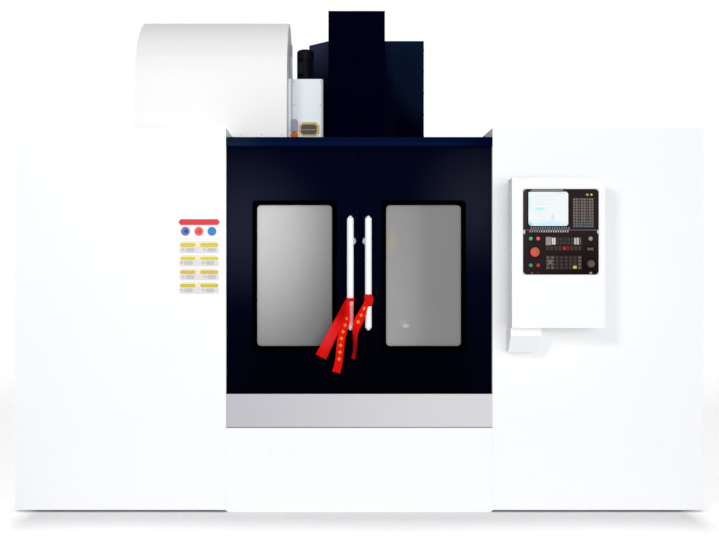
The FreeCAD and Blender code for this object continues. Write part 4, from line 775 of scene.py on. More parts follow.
    def pipe(self, route: Sequence[Point], radius: float, finish: Finish, sides: int = 12) -> None:
        """Add a pipe or hose along a smoothed route.

        Args:
            route: the points that it follows.
            radius: its radius.
            finish: its finish.
            sides: the number of its sides.
        """
        points = smoothed([Vector(p) for p in route], 10)
        turns = [2 * math.pi * step / sides for step in range(sides)]
        before = None
        normal = Vector((0, 0, 1))
        for index, point in enumerate(points):
            along = (points[min(index + 1, len(points) - 1)] - points[max(index - 1, 0)]).normalized()
            normal = normal - along * normal.dot(along)
            if normal.length < 0.01:
                normal = along.orthogonal()
            normal.normalize()
            side = along.cross(normal)
            outs = [normal * math.cos(turn) + side * math.sin(turn) for turn in turns]
            ring = [self.work.verts.new((point + out * radius) * MM) for out in outs]
            if before is None:
                faces = [self.work.faces.new(ring[::-1])]
            else:
                faces = []
                for here in range(sides):
                    there = (here + 1) % sides
                    faces.append(self.work.faces.new((before[here], before[there], ring[there], ring[here])))
            self._paint(faces, finish)
            before = ring
        self._paint([self.work.faces.new(before)], finish)

    def build(self, body: str, replaces: Sequence[str] = (), slot: str = "",
              smooth_angle: float = 35.0) -> bpy.types.Object:
        """Turn the collected forms into an object that rides on a body.

        Args:
            body: the body that carries it.
            replaces: the CAD nodes that it stands for.
            slot: the record's material slot; not used.
            smooth_angle: edges flatter than this are shaded smooth.

        Returns:
            The new object.
        """
        materials = [self.palette[finish] for finish in self.finishes]
        piece = place(self.name, self.work, materials, smooth_angle)
        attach(piece, body)
        if replaces:
            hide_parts(*replaces)
        return piece


def smooth(mesh: bpy.types.Mesh, angle: float) -> None:
    """Shade a mesh smooth, but for edges sharper than an angle in degrees."""
    mesh.polygons.foreach_set("use_smooth", [True] * len(mesh.polygons))
    mesh.set_sharp_from_angle(angle=math.radians(angle))


def place(name: str, work: bmesh.types.BMesh, materials: Sequence[bpy.types.Material],
          smooth_angle: float) -> bpy.types.Object:
    """Put worked forms into the scene as one piece, and report it.

    Args:
        name: the piece's name.
        work: its forms, which are freed.
        materials: its materials in the order of their slots.
        smooth_angle: edges flatter than this are shaded smooth.

    Returns:
        The new object.
    """
    mesh = bpy.data.meshes.new(name)
    work.to_mesh(mesh)
    work.free()
    for material in materials:
        mesh.materials.append(material)
    smooth(mesh, smooth_angle)
    piece = bpy.data.objects.new(name, mesh)
    bpy.context.scene.collection.objects.link(piece)
    LOG.info("%s: %d faces", name, len(mesh.polygons))
    return piece


@dataclass
class Workshop:
    """What every sub-assembly needs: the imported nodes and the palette."""

    nodes: dict[str, bpy.types.Object]
    palette: Palette
    edge_segments: int = 2
    edge_angle: float = 40.0
    shading_angle: float = 30.0

    def shape(self, name: str) -> Shape:
        """Start a new trim piece."""
        return Shape(name, self.palette)

    def dress(self, *rows: tuple[str, Finish, float]) -> None:
        """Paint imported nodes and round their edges.

        Args:
            rows: each node's name, its finish, and the width of its rounded edges in mm or zero.
        """
        for node, finish, edge in rows:
            piece = self.nodes[node]
            mesh = piece.data
            mesh.materials.clear()
            mesh.materials.append(self.palette[finish])
            mesh.polygons.foreach_set("material_index", [0] * len(mesh.polygons))
            smooth(mesh, self.shading_angle)
            if edge > 0:
                rounding = piece.modifiers.new("rounded_edges", "BEVEL")
                rounding.width = edge * MM
                rounding.segments = self.edge_segments
                rounding.limit_method = "ANGLE"
                rounding.angle_limit = math.radians(self.edge_angle)
                rounding.harden_normals = True
            LOG.info("%s: %s", node, finish.name)


@dataclass
class Enclosure:
    """The white sheet-metal wings: fronts, sides, back and roof."""

    shop: Workshop
    half_width: float = 2065.0
    top: float = 2304.0
    back: float = 1000.0
    skin: float = 2.4
    door_low: float = 640.0
    door_high: float = 2180.0

    def build(self) -> None:
        """Paint the sheets and add their seams, vents, latches and screws."""
        self.shop.dress(("front_panel_left", WHITE, 0.9), ("front_panel_right", WHITE, 0.9),
                        ("back_and_roof_panels", WHITE, 0.9))
        self._build_sides()
        self._build_back()
        self._build_roof()
        self._build_inner_frame()

    def _build_sides(self) -> None:
        """Side sheets with flat doors, vents and screws."""
        piece = self.shop.shape("side_sheets")
        face = self.half_width - self.skin
        sheet = [(face, -1186), (face, 1000), (face - 31.6, 1000), (face - 31.6, 998),
                 (face - 2, 998), (face - 2, -1186)]
        for sign in SIGNS:
            piece.prism(signed(sign, sheet), Axis.UP, 12, self.top - 3, WHITE)
            for front, back in ((-1100, -420), (-360, 330)):
                self._side_door(piece, sign, front, back)
            for front, back, low, high in ((-1040, -480, 150, 520), (470, 900, 1500, 2100),
                                           (470, 900, 150, 520)):
                self._vents(piece, sign, (front, low), (back, high))
            spots = [(sign * face, y, z) for y in spread(-1165, 975, 10) for z in (30, 2284)]
            spots += [(sign * face, y, z) for z in spread(230, 2080, 8) for y in (-1165, 975)]
            piece.screws(spots, self._outward(sign), 6.0, 2.3)
        piece.build("frame", ["side_panels"], "white_paint")

    @staticmethod
    def _outward(sign: int) -> Axis:
        """Return the direction away from the middle."""
        return Axis.RIGHT if sign > 0 else Axis.LEFT

    def _side_door(self, piece: Shape, sign: int, front: float, back: float) -> None:
        """Add one flat access door with quarter-turn latches and hinges.

        Args:
            piece: the shape to add to.
            sign: 1 for the right side, -1 for the left.
            front: its front edge along Y.
            back: its back edge along Y.
        """
        low, high = self.door_low, self.door_high

        def plate(inner: float, outer: float, start: Flat, end: Flat, finish: Finish,
                  edge: float = 0.0) -> None:
            """Add a plate between two depths under the wing's outer face."""
            piece.slab(sign, self.half_width - inner, self.half_width - outer, start, end, finish, edge)

        plate(self.skin, 1.8, (front - 6, low - 6), (back + 6, high + 6), RUBBER_AND_SLOT_SHADE)
        plate(self.skin, 0.6, (front, low), (back, high), WHITE, 0.7)
        for z in (low + 60, high - 64):
            plate(self.skin, 0.3, (front + 60, z), (back - 60, z + 4), WHITE, 0.3)
        foot = sign * (self.half_width - 1.4)
        for z in (low + 260, (low + high) / 2, high - 260):
            latch = [(15, 0), (15, 0.9), (13, 1.3)]
            piece.lathe((foot, back - 38, z), self._outward(sign), latch, BLACK_OXIDE, 24)
            plate(1.4, 0.05, (back - 40, z - 9), (back - 36, z + 9), ZINC)
        for z in (low + 150, high - 150):
            plate(2.0, 0.1, (front - 14, z - 45), (front + 20, z + 45), BLACK_OXIDE, 0.5)

    def _vents(self, piece: Shape, sign: int, start: Flat, end: Flat) -> None:
        """Add a bank of louvres in two halves.

        Args:
            piece: the shape to add to.
            sign: 1 for the right side, -1 for the left.
            start: its lowest (y, z) corner.
            end: its highest (y, z) corner.
        """
        inner, outer = self.half_width - self.skin, self.half_width - 0.2
        middle = (start[0] + end[0]) / 2
        for z in spread(start[1], end[1], max(int((end[1] - start[1]) / 34), 3)):
            profile = signed(sign, [(inner, z - 9), (outer, z - 8), (outer, z - 6), (inner, z + 10)])
            for front, back in ((start[0], middle - 14), (middle + 14, end[0])):
                piece.prism(profile, Axis.BACK, front, back, WHITE)
                # A dark strip under each louvre stands in for the shade in its opening.
                piece.slab(sign, outer - 0.5, outer + 0.05, (front + 3, z - 10.5), (back - 3, z - 8.2),
                           RUBBER_AND_SLOT_SHADE)

    def _build_back(self) -> None:
        """Louvred access panels with bow handles, and screws, on the two back sheets."""
        piece = self.shop.shape("back_trim")
        panel = self.back + 2.4
        for sign, inner in ((-1, 560), (1, 653)):
            low, high = sorted((sign * inner, sign * 1960))
            middle = (low + high) / 2
            for start, end in ((low, middle - 20), (middle + 20, high)):
                piece.block((start, 999.6, 700), (end, 1000.4, 2170), RUBBER_AND_SLOT_SHADE)
                piece.block((start + 5, 999.8, 705), (end - 5, panel, 2165), WHITE, 0.8)
                for z in spread(820, 1240, 12):
                    piece.prism([(1002.2, z - 10), (1006.5, z - 9), (1006.5, z - 7), (1002.2, z + 11)],
                                Axis.RIGHT, start + 70, end - 70, WHITE)
                    # A dark strip under each louvre stands in for the shade in its opening.
                    piece.block((start + 74, 1005.8, z - 12), (end - 74, 1006.6, z - 9.3), RUBBER_AND_SLOT_SHADE)
                self._pull(piece, (start + end) / 2, panel, 1900)
                spots = [(x, panel, z) for x in (start + 26, end - 26) for z in spread(730, 2140, 7)]
                piece.screws(spots, Axis.BACK, 6.5, 3.2)
            outer = sorted((sign * 620, sign * 2030))
            spots = [(x, self.back, z) for x in spread(*outer, 8) for z in (40, 2280)]
            piece.screws(spots, Axis.BACK, 6.5, 3.2)
        piece.build("frame")

    @staticmethod
    def _pull(piece: Shape, x: float, y: float, z: float) -> None:
        """Add a bow handle on a back sheet.

        Args:
            piece: the shape to add to.
            x: its middle along X.
            y: the sheet's outer face.
            z: its height.
        """
        bow = ((-70, 0), (-70, 26), (-52, 38), (0, 40), (52, 38), (70, 26), (70, 0))
        piece.pipe([(x + along, y + out, z) for along, out in bow], 6.5, BLACK_OXIDE)
        for end in (-70, 70):
            piece.rod((x + end, y - 0.5, z), Axis.BACK, 13, 3.5, BLACK_OXIDE, 0.8, 20)

    def _build_roof(self) -> None:
        """Stiffening ribs, screws and a cable duct on the roof strips."""
        piece = self.shop.shape("roof_trim")
        top = self.top
        for sign, inner in ((-1, 1530), (1, 880)):
            ends = sorted((sign * inner, sign * 2040))
            for y in spread(-1000, 880, 6):
                piece.prism([(y - 22, top - 0.4), (y - 15, top + 7), (y + 15, top + 7), (y + 22, top - 0.4)],
                            Axis.RIGHT, *ends, WHITE, 1.0)
            spots = [(sign * 2046, y, top) for y in spread(-1190, 960, 12)]
            spots += [(sign * x, 975, top) for x in spread(840, 2000, 8)]
            piece.screws(spots, Axis.UP, 7, 4)
        piece.block((1000, 930, top - 0.5), (1060, 985, top + 40), WHITE, 2)
        piece.block((880, 800, top - 0.5), (1990, 890, top + 44), WHITE, 2.5)
        piece.screws([(x, 845, top + 44) for x in spread(920, 1950, 7)], Axis.UP, 5, 3)
        piece.build("frame")

    def _build_inner_frame(self) -> None:
        """Folded channels behind the wings that the doors and roof hang on."""
        piece = self.shop.shape("inner_channels")
        for sign in SIGNS:
            for x in (1180, 1620):
                piece.slab(sign, x, x + 40, (-1112, 2262), (990, 2299), WHITE, 1.5)
            for low, high in (((-1120, 14), (-1080, 2262)), ((940, 14), (980, 2262)),
                              ((-1080, 40), (940, 80))):
                piece.slab(sign, 2020, 2059, low, high, WHITE, 1.5)
        piece.build("frame")


@dataclass
class Doorway:
    """The header over the doors, the sill under them and the coolant tank's front."""

    shop: Workshop

    def build(self) -> None:
        """Paint the channel, sill and tank, and add their strips and fittings."""
        self.shop.dress(("door_header", HEADER_NAVY, 1.0), ("door_sill", SILL_GREY, 2.0),
                        ("coolant_tank", WHITE, 3.0))
        self._build_header()
        self._build_sill()
        self._build_tank()

    def _build_header(self) -> None:
        """Brighter lower strip, two tabs and the rail screws."""
        piece = self.shop.shape("header_trim")
        piece.block((-797, -1221.4, 2200), (797, -1219.8, 2218), NAVY_STRIP, 0.6)
        for left, right in ((-14, -3), (1.5, 10)):
            piece.block((left, -1223.0, 2197), (right, -1219.8, 2212), HEADER_NAVY, 0.8)
        piece.screws([(x, -1175, 2250) for x in spread(-1500, 1500, 13)], Axis.UP, 6, 4)
        piece.build("frame")

    def _build_sill(self) -> None:
        """Wiper strip along the top of the sill, and its chip lip."""
        piece = self.shop.shape("sill_trim")
        piece.block((-797, -1216, 707.6), (797, -1190, 709.4), RUBBER_AND_SLOT_SHADE, 0.5)
        piece.block((-797, -1221.2, 506), (797, -1219.8, 509), RUBBER_AND_SLOT_SHADE, 0.3)
        piece.build("frame")

    def _build_tank(self) -> None:
        """Covers over the pull-out grips, and white seals beside the tank's front."""
        piece = self.shop.shape("tank_trim")
        for sign in SIGNS:
            piece.block((sign * 480 - 74, -1220.8, 339), (sign * 480 + 74, -1217, 394), WHITE, 0.4)
            piece.slab(sign, 789.0, 799.6, (-1219.9, 6), (-1214, 503.5), WHITE)
        piece.build("frame")


@dataclass
class SlidingDoor:
    """One navy door with its window, seal and handle bar."""

    shop: Workshop
    side: Side

    def build(self) -> None:
        """Paint the door and build its handle and trim."""
        word = self.side.word
        self.shop.dress((self.side.door, NAVY, 2.2), (word + "_window_seal", RUBBER_AND_SLOT_SHADE, 2.5),
                        (word + "_window", GLASS[self.side], 0.0))
        self._build_inside()
        self._build_handle()

    def _build_handle(self) -> None:
        """Upright bar on two bosses, the lower one hidden behind it."""
        sign = self.side.value
        x = sign * HANDLE_X
        piece = self.shop.shape(self.side.word + "_handle_bar")
        piece.lathe((x, HANDLE_Y, 1092), Axis.UP, [(6, 0), (20, 16), (20, 668), (6, 684)], HANDLE_WHITE, 40)
        upper = (sign * 45.0, -1180, 1626)
        piece.lathe(upper, Axis.FRONT, [(26, 0), (26, 30), (22, 40), (15, 44), (15, 48)], BOSS_GREY, 36)
        piece.lathe((x, -1180, 1242), Axis.FRONT, [(18, 0), (18, 34), (14, 42), (14, 48)], BOSS_GREY, 36)
        piece.build(self.side.door, [self.side.word + "_handle"], "handle_white", 30)

    def _build_inside(self) -> None:
        """Window clamp strips, stiffeners and a wiper on the door's back."""
        sign = self.side.value
        piece = self.shop.shape(self.side.word + "_door_inside")
        low, high = sorted((sign * 120, sign * 659))
        for z0, z1 in ((936, 960), (1877, 1901)):
            piece.block((low, -1140.3, z0), (high, -1137, z1), ZINC, 0.6)
            spots = [(x, -1137, (z0 + z1) / 2) for x in spread(low + 20, high - 20, 8)]
            piece.screws(spots, Axis.BACK, 5, 2.5)
        for x0 in (low, high - 13):
            piece.block((x0, -1140.3, 960), (x0 + 13, -1137, 1877), ZINC, 0.6)
        for near, far in ((20, 60), (745, 800)):
            piece.slab(sign, near, far, (-1140.2, 760), (-1135, 2150), NAVY, 1.2)
        piece.slab(sign, 0.2, 4.6, (-1179, 712), (-1142, 2192), RUBBER_AND_SLOT_SHADE, 0.8)
        piece.build(self.side.door)


@dataclass(frozen=True)
class Tail:
    """One hanging ribbon tail, by its middle line on the door's front and its width along it."""

    name: str
    course: tuple[Flat, ...]
    widths: tuple[float, ...]
    depth: float
    sway: float
    notch: float
    pitch: float = 0.0
    first_mark: float = 0.0
    marks: int = 0

    def length(self) -> float:
        """Return its length along its middle line."""
        line = smoothed([Vector((x, 0, z)) for x, z in self.course], 24)
        return sum((there - here).length for here, there in zip(line, line[1:]))


TAILS = {
    Side.LEFT: (
        Tail("left_tail_plain", ((-66, 1279), (-84, 1240), (-108, 1180), (-136, 1120), (-172, 1048),
                                 (-204, 985), (-232, 930)),
             (20, 34, 48, 56, 62, 66, 68), -1266, 11.0, 30.0),
        Tail("left_tail_marked", ((-68, 1282), (-71, 1240), (-74, 1190), (-80, 1142), (-95, 1096),
                                  (-109, 1035), (-117, 960), (-124, 900), (-140, 838)),
             (20, 24, 32, 42, 46, 46, 46, 46, 48), -1272, 4.0, 18.0, 41.0, 98.0, 7)),
    Side.RIGHT: (
        Tail("right_tail_marked", ((44, 1262), (30, 1228), (12, 1186), (-5, 1148), (-20, 1108), (-25, 1062),
                                   (-26, 1004), (-30, 960), (-38, 920)),
             (30, 36, 48, 56, 44, 30, 24, 22, 22), -1264, 6.0, 12.0, 44.0, 20.0, 3),),
}


@dataclass
class Ribbons:
    """The red ribbons that are tied round the two handle bars."""

    shop: Workshop
    side: Side
    across: int = 12

    def build(self) -> None:
        """Wrap a turn round the bar and hang the tails from it."""
        knot = self._build_knot()
        for tail in TAILS[self.side]:
            piece = self._build_tail(tail)
            length = tail.length() * MM

    def _build_knot(self) -> bpy.types.Object:
        """Turns of cloth round the bar.

        Returns:
            The knot's object; the tails are drawn hanging below it.
        """
        x = self.side.value * HANDLE_X
        piece = self.shop.shape(self.side.word + "_ribbon_knot")
        if self.side is Side.LEFT:
            foot = 1264
            profile = [(20.4, 0), (23, 1), (24.5, 6), (23.4, 11), (24.2, 16), (22.4, 20), (20.4, 21)]
            folds = ((3.4, ((-20, -1248, 1284), (-10, -1258, 1279), (2, -1260, 1272), (14, -1255, 1266))),)
        else:
            foot = 1235
            profile = [(20.4, 0), (22.5, 1), (24, 10), (22.8, 20), (25, 34), (23.6, 46), (25.4, 58),
                       (23.2, 70), (20.4, 72)]
            folds = ((4.2, ((-18, -1250, 1246), (-4, -1261, 1262), (12, -1258, 1282), (21, -1247, 1300))),
                     (4.6, ((14, -1250, 1300), (23, -1246, 1288), (26, -1243, 1270), (18, -1248, 1248))))
        piece.lathe((x, HANDLE_Y, foot), Axis.UP, profile, KNOT_RED, 48)
        for radius, route in folds:
            piece.pipe([(x + along, y, z) for along, y, z in route], radius, KNOT_RED, 10)
        return piece.build(self.side.door, [self.side.word + "_ribbon"], "ribbon_red", 60)

    def _build_tail(self, tail: Tail) -> bpy.types.Object:
        """Weave one tail as a thin folded strip with a swallow-tailed end.

        Args:
            tail: its course, widths and marks.

        Returns:
            The tail's object.
        """
        line = smoothed([Vector((x, width, z)) for (x, z), width in zip(tail.course, tail.widths)], 16)
        across = self.across
        cloth = bmesh.new()
        flat = cloth.loops.layers.uv.new("flat")
        spots = [Vector((point.x, 0, point.z)) for point in line]
        last = len(spots) - 1
        runs = [0.0]
        for here, there in zip(spots, spots[1:]):
            runs.append(runs[-1] + (there - here).length)
        rows = []
        for index, point in enumerate(spots):
            along = (spots[min(index + 1, last)] - spots[max(index - 1, 0)]).normalized()
            side = Vector((-along.z, 0, along.x))
            share = runs[index] / runs[-1]
            row = []
            for u in (step / across - 0.5 for step in range(across + 1)):
                fold = math.cos(u * math.pi * 2.2 + share * 3.0) * tail.sway * (0.3 + 0.7 * share)
                sway = math.sin(share * 7.5 + u * 1.7) * tail.sway * share
                notch = (1 - abs(u) * 2) * tail.notch if index == last else 0.0
                spot = point + side * (u * line[index].y) - along * notch
                spot.y = tail.depth + fold + sway
                row.append(cloth.verts.new(spot * MM))
            rows.append(row)
        marks = [min(max((run - tail.first_mark) / tail.pitch, 0.0), tail.marks) if tail.pitch else 0.0
                 for run in runs]
        for index, (near, far) in enumerate(zip(rows, rows[1:])):
            for step in range(across):
                face = cloth.faces.new((near[step], near[step + 1], far[step + 1], far[step]))
                corners = ((step, index), (step + 1, index), (step + 1, index + 1), (step, index + 1))
                for loop, (cell, run) in zip(face.loops, corners):
                    loop[flat].uv = (cell / across, marks[run])
        piece = place(tail.name, cloth, [self.shop.palette[RIBBON_RED]], SMOOTH_FOLDS)
        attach(piece, self.side.door)
        return piece


@dataclass
class ControlStation:
    """The operator's box with its screen, keys, lamps and switches."""

    shop: Workshop
    left: float = 939.0
    right: float = 1374.0
    bottom: float = 1426.0
    top: float = 1919.0
    face: float = -1456.0
    cut: float = 15.0

    def build(self) -> None:
        """Paint the box and its buttons, and build the panel."""
        self.shop.dress(("control_box", WHITE, 3.0), ("control_bracket", WHITE, 3.0),
                        ("power_on_button", GREEN, 0.0), ("power_off_button", RED, 0.0),
                        ("cycle_start_button", DEEP_GREEN, 0.0), ("feed_hold_button", DEEP_RED, 0.0),
                        ("emergency_stop", STOP_RED, 0.0), ("feed_override_knob", KEY["grey"], 0.0))
        self._build_panel()
        self._build_box_trim()
        self._build_caps()

    def _key(self, piece: Shape, low: Flat, high: Flat, finish: Finish, proud: float = 3.0,
             bevel: float = 1.0) -> None:
        """Add a key cap on the panel's face, from its lower left to its upper right corner."""
        piece.block((low[0], self.face - proud, low[1]), (high[0], self.face + 0.2, high[1]), finish, bevel)

    def _build_panel(self) -> None:
        """Both halves of the panel with everything that is fixed to them."""
        piece = self.shop.shape("control_panel")
        left, right, face, cut = self.left, self.right, self.face, self.cut
        # The lavender-grey rim round the panel is painted shade at its edge.
        piece.block((left - 2, -1451.4, self.bottom - 2), (right + 2, -1424, self.top + 2), RIM_GREY, 1.0)
        lower = [(left + cut, self.bottom), (right - cut, self.bottom), (right, self.bottom + cut),
                 (right, 1682), (left, 1682), (left, self.bottom + cut)]
        upper = [(left, 1684), (right, 1684), (right, self.top - cut), (right - cut, self.top),
                 (left + cut, self.top), (left, self.top - cut)]
        for half in (lower, upper):
            piece.prism(half, Axis.BACK, face, -1451, PANEL_BLACK, 1.5)
        for x in (left - 2, right - 10):
            latch = [(x, 1668), (x + 4, 1660), (x + 12, 1660), (x + 12, 1682), (x + 4, 1682), (x, 1678)]
            piece.prism(latch, Axis.BACK, face - 2.0, face + 1, RIM_GREY, 0.8)
        # A pale strip standing in for the sheen along the panel's top edge, a painted highlight.
        piece.block((985, face - 0.5, 1909), (1170, face + 0.2, 1916), PANEL_SHEEN, 0.4)
        self._build_screen(piece)
        self._build_keypad(piece)
        self._build_lower_keys(piece)
        piece.build("control_station", ["control_face"], "panel_black")

    def _build_screen(self, piece: Shape) -> None:
        """The pale display with its cut corners, and the row of soft keys under it.

        Args:
            piece: the panel that they are added to.
        """
        face = self.face
        piece.prism([(962, 1704), (1205, 1704), (1205, 1908), (962, 1908)], Axis.BACK, face - 4, face + 0.3,
                    PANEL_EDGE, 2.0)
        screen = [(978, 1706), (1187, 1706), (1197, 1716), (1197, 1893), (1187, 1903), (973, 1903),
                  (968, 1898), (968, 1716)]
        piece.prism(screen, Axis.BACK, face - 5.0, face - 3, SCREEN_PALE, 0.4)
        rng = random.Random(7)
        for row in [*spread(1744, 1786, 4), *spread(1830, 1880, 5)]:
            edge = 1000 + rng.uniform(0, 14)
            end = edge + rng.uniform(50, 140)
            piece.block((edge, face - 5.3, row), (end, face - 4.9, row + 2.2), SCREEN_LINE)
        for count, column in enumerate(spread(974, 1192, 17)):
            finish = KEY["light"] if count > 4 else KEY["stone"]
            self._key(piece, (column, 1669), (column + 7.0, 1681), finish, 2.2, 0.6)
            self._key(piece, (column + 7.4, 1686), (column + 13.0, 1700), KEY["stone"], 1.6, 0.5)

    def _build_keypad(self, piece: Shape) -> None:
        """Small typing keys to the right of the screen, and two lamps over them.

        Args:
            piece: the panel that they are added to.
        """
        for line, z in enumerate(spread(1853, 1698, 11)):
            for column, x in enumerate(spread(1226, 1331, 8)):
                tone = "blue" if line > 8 else "grey" if column in (2, 5) else "typing"
                self._key(piece, (x, z), (x + 12.2, z + 12.6), KEY[tone], 1.8, 0.6)
        for x, size, finish in ((1307.5, 8.5, KEY["stone"]), (1331.5, 7.0, LAMP_YELLOW)):
            piece.rod((x, self.face + 0.2, 1886), Axis.FRONT, size, 3.4, finish, 1.4, 20)

    def _build_lower_keys(self, piece: Shape) -> None:
        """Two blocks of mode keys, the key switch and the small selectors.

        Args:
            piece: the panel that they are added to.
        """
        front = self.face + 0.2
        self._key(piece, (1066, 1562), (1276, 1646), PANEL_EDGE, 0.8, 0.6)
        for x in spread(1126, 1213, 5):
            for z in (1600, 1621):
                self._key(piece, (x, z), (x + 16.5, z + 17), KEY["dark"], 2.2)
        self._key(piece, (1068, 1595), (1101, 1643), KEY["stone"], 3.4, 5.0)
        for x, wide, tone in ((1103.5, 9.6, "rose"), (1114.5, 9.6, "rose"), (1232, 12.8, "light"),
                              (1247, 12.8, "light"), (1263, 9, "grey")):
            self._key(piece, (x, 1599), (x + wide, 1638), KEY[tone], 3.0, 0.8)
        for column, x in enumerate(spread(1070, 1256, 9)):
            self._key(piece, (x, 1567), (x + 17, 1590), KEY["red" if column in (4, 5) else "dark"], 2.4)
        piece.rod((1176, self.face - 2.0, 1577), Axis.FRONT, 8.0, 1.6, DEEP_RED, 0.6, 18)
        self._key(piece, (1068, 1454), (1276, 1536), PANEL_EDGE, 0.8, 0.6)
        for z in spread(1517, 1458, 4):
            for column, x in enumerate(spread(1072, 1255, 8)):
                tone = "grey" if column in (0, 1, 7) else "dark"
                self._key(piece, (x, z), (x + 18, z + 14.5), KEY[tone], 2.2)
        self._key(piece, (1082, 1486), (1103, 1512), KEY["blue"], 3.4, 5.0)
        self._key(piece, (1226, 1460), (1246, 1476), KEY["yellow"], 3.4, 4.0)
        piece.rod((1325, front, 1633), Axis.FRONT, 12, 11, KEY["stone"], 1.5, 28)
        for x in (1316, 1334):
            piece.rod((x, front, 1573), Axis.FRONT, 9, 7, KEY["grey"], 1.5, 24)
        piece.ring((1328, self.face + 0.3, 1489), Axis.FRONT, 24, 22.6, 1.0, PANEL_EDGE, 40)
        for x, radius, tone in ((988, 6, "grey"), (1023, 6, "red"), (1328, 8, "stone")):
            piece.rod((x, front, 1434), Axis.FRONT, radius, 2, KEY[tone], 0.8, 18)

    def _build_box_trim(self) -> None:
        """The box's back cover, and the hinge screws of the station's bracket."""
        piece = self.shop.shape("station_trim")
        piece.block((910, -1250.2, 1180), (1378, -1246.5, 1900), WHITE, 1.5)
        spots = [(x, -1246.5, z) for x in (925, 1363) for z in spread(1200, 1880, 5)]
        piece.screws(spots, Axis.BACK, 4, 1.6)
        piece.build("control_station")
        hinge = self.shop.shape("bracket_trim")
        hinge.screws([(x, -1222, z) for x in (895, 1037) for z in (1000, 1080)], Axis.FRONT, 5, 2, WHITE)
        hinge.build("frame")

    def _build_caps(self) -> None:
        """Bezels round the push buttons, and the pointer on the feed knob."""
        rings = self.shop.shape("button_rings")
        for x, z in ((981.6, 1633), (1023.8, 1633), (981.6, 1479.2), (1023.8, 1479.2)):
            rings.ring((x, self.face + 0.3, z), Axis.FRONT, 13.4, 11.6, 2.0, PANEL_EDGE, 28)
        rings.build("control_station")
        pointer = self.shop.shape("feed_knob_pointer")
        pointer.block((1326.9, -1480.0, 1490), (1329.1, -1478.6, 1507), MARK_WHITE)
        pointer.build("feed_override")


@dataclass
class NoticePlate:
    """The printed plate on the left wing, with plain shapes in place of any words."""

    shop: Workshop
    left: float = -1084.0
    right: float = -837.0
    face: float = -1222.0

    def build(self) -> None:
        """Paint the plate and lay its banner, discs and bars."""
        self.shop.dress(("notice_plate", NOTICE_WHITE, 0.6))
        piece = self.shop.shape("notice_shapes")
        left, right, back = self.left, self.right, self.face + 0.1

        def lay(outline: Outline, tone: str, height: float = 0.35) -> None:
            """Lay one printed shape on the plate."""
            piece.prism(outline, Axis.BACK, self.face - height, back, NOTICE[tone])

        lay([(left - 1, 1739.5), (left + 12, 1722), (right - 12, 1722), (right + 1, 1739.5),
             (right - 12, 1757), (left + 12, 1757)], "red")
        for low, high in ((1636, 1639), (1718, 1721)):
            lay([(left + 6, low), (right - 6, low), (right - 6, high), (left + 6, high)], "pink")
        for x, rim, core in ((-1043, "violet", "indigo"), (-962, "coral", "red"), (-884, "blue", "blue")):
            for shift, radius, height, tone, sides in ((0, 30, 0.4, "pink", 40), (0, 26, 0.5, rim, 40),
                                                       (4, 11, 0.7, core, 24)):
                piece.rod((x + shift, back, 1684), Axis.FRONT, radius, height, NOTICE[tone], 0.0, sides)
        for high, low, tone, shift in ((1614, 1590, "yellow", 0), (1531, 1512, "lemon", 10),
                                       (1450, 1428, "amber", 0), (1369, 1348, "olive", 10)):
            self._lay_row(lay, high, low, tone, shift)
        piece.build("frame")

    def _lay_row(self, lay: Callable[..., None], high: float, low: float, tone: str,
                 shift: float) -> None:
        """Lay a pair of coloured bands with pale blocks under them.

        Args:
            lay: lays one outline on the plate.
            high: the bands' upper edge.
            low: the bands' lower edge.
            tone: the bands' tone.
            shift: how far the darker patches are moved.
        """
        left, right = self.left, self.right
        lay([(left + 14, high), (right - 14, high), (right - 22, high + 11), (left + 22, high + 11)],
            "cream")
        lay([(-982, low), (-955, low), (-955, high), (-982, high)], "cream")
        lay(cut_corners(left + 5, right - 5, low - 38, low, 8), "haze", 0.25)
        for start, end in ((left + 8, -982), (-955, right - 8)):
            lay(cut_corners(start, end, low, high, 7), tone, 0.45)
            middle = (start + end) / 2 + 16 - shift
            lay(cut_corners(middle - 30, middle + 26, low - 30, low - 6, 9), "grey", 0.4)
            lay(cut_corners(middle - 52, middle - 34, low - 24, low - 8, 5), "grey", 0.4)


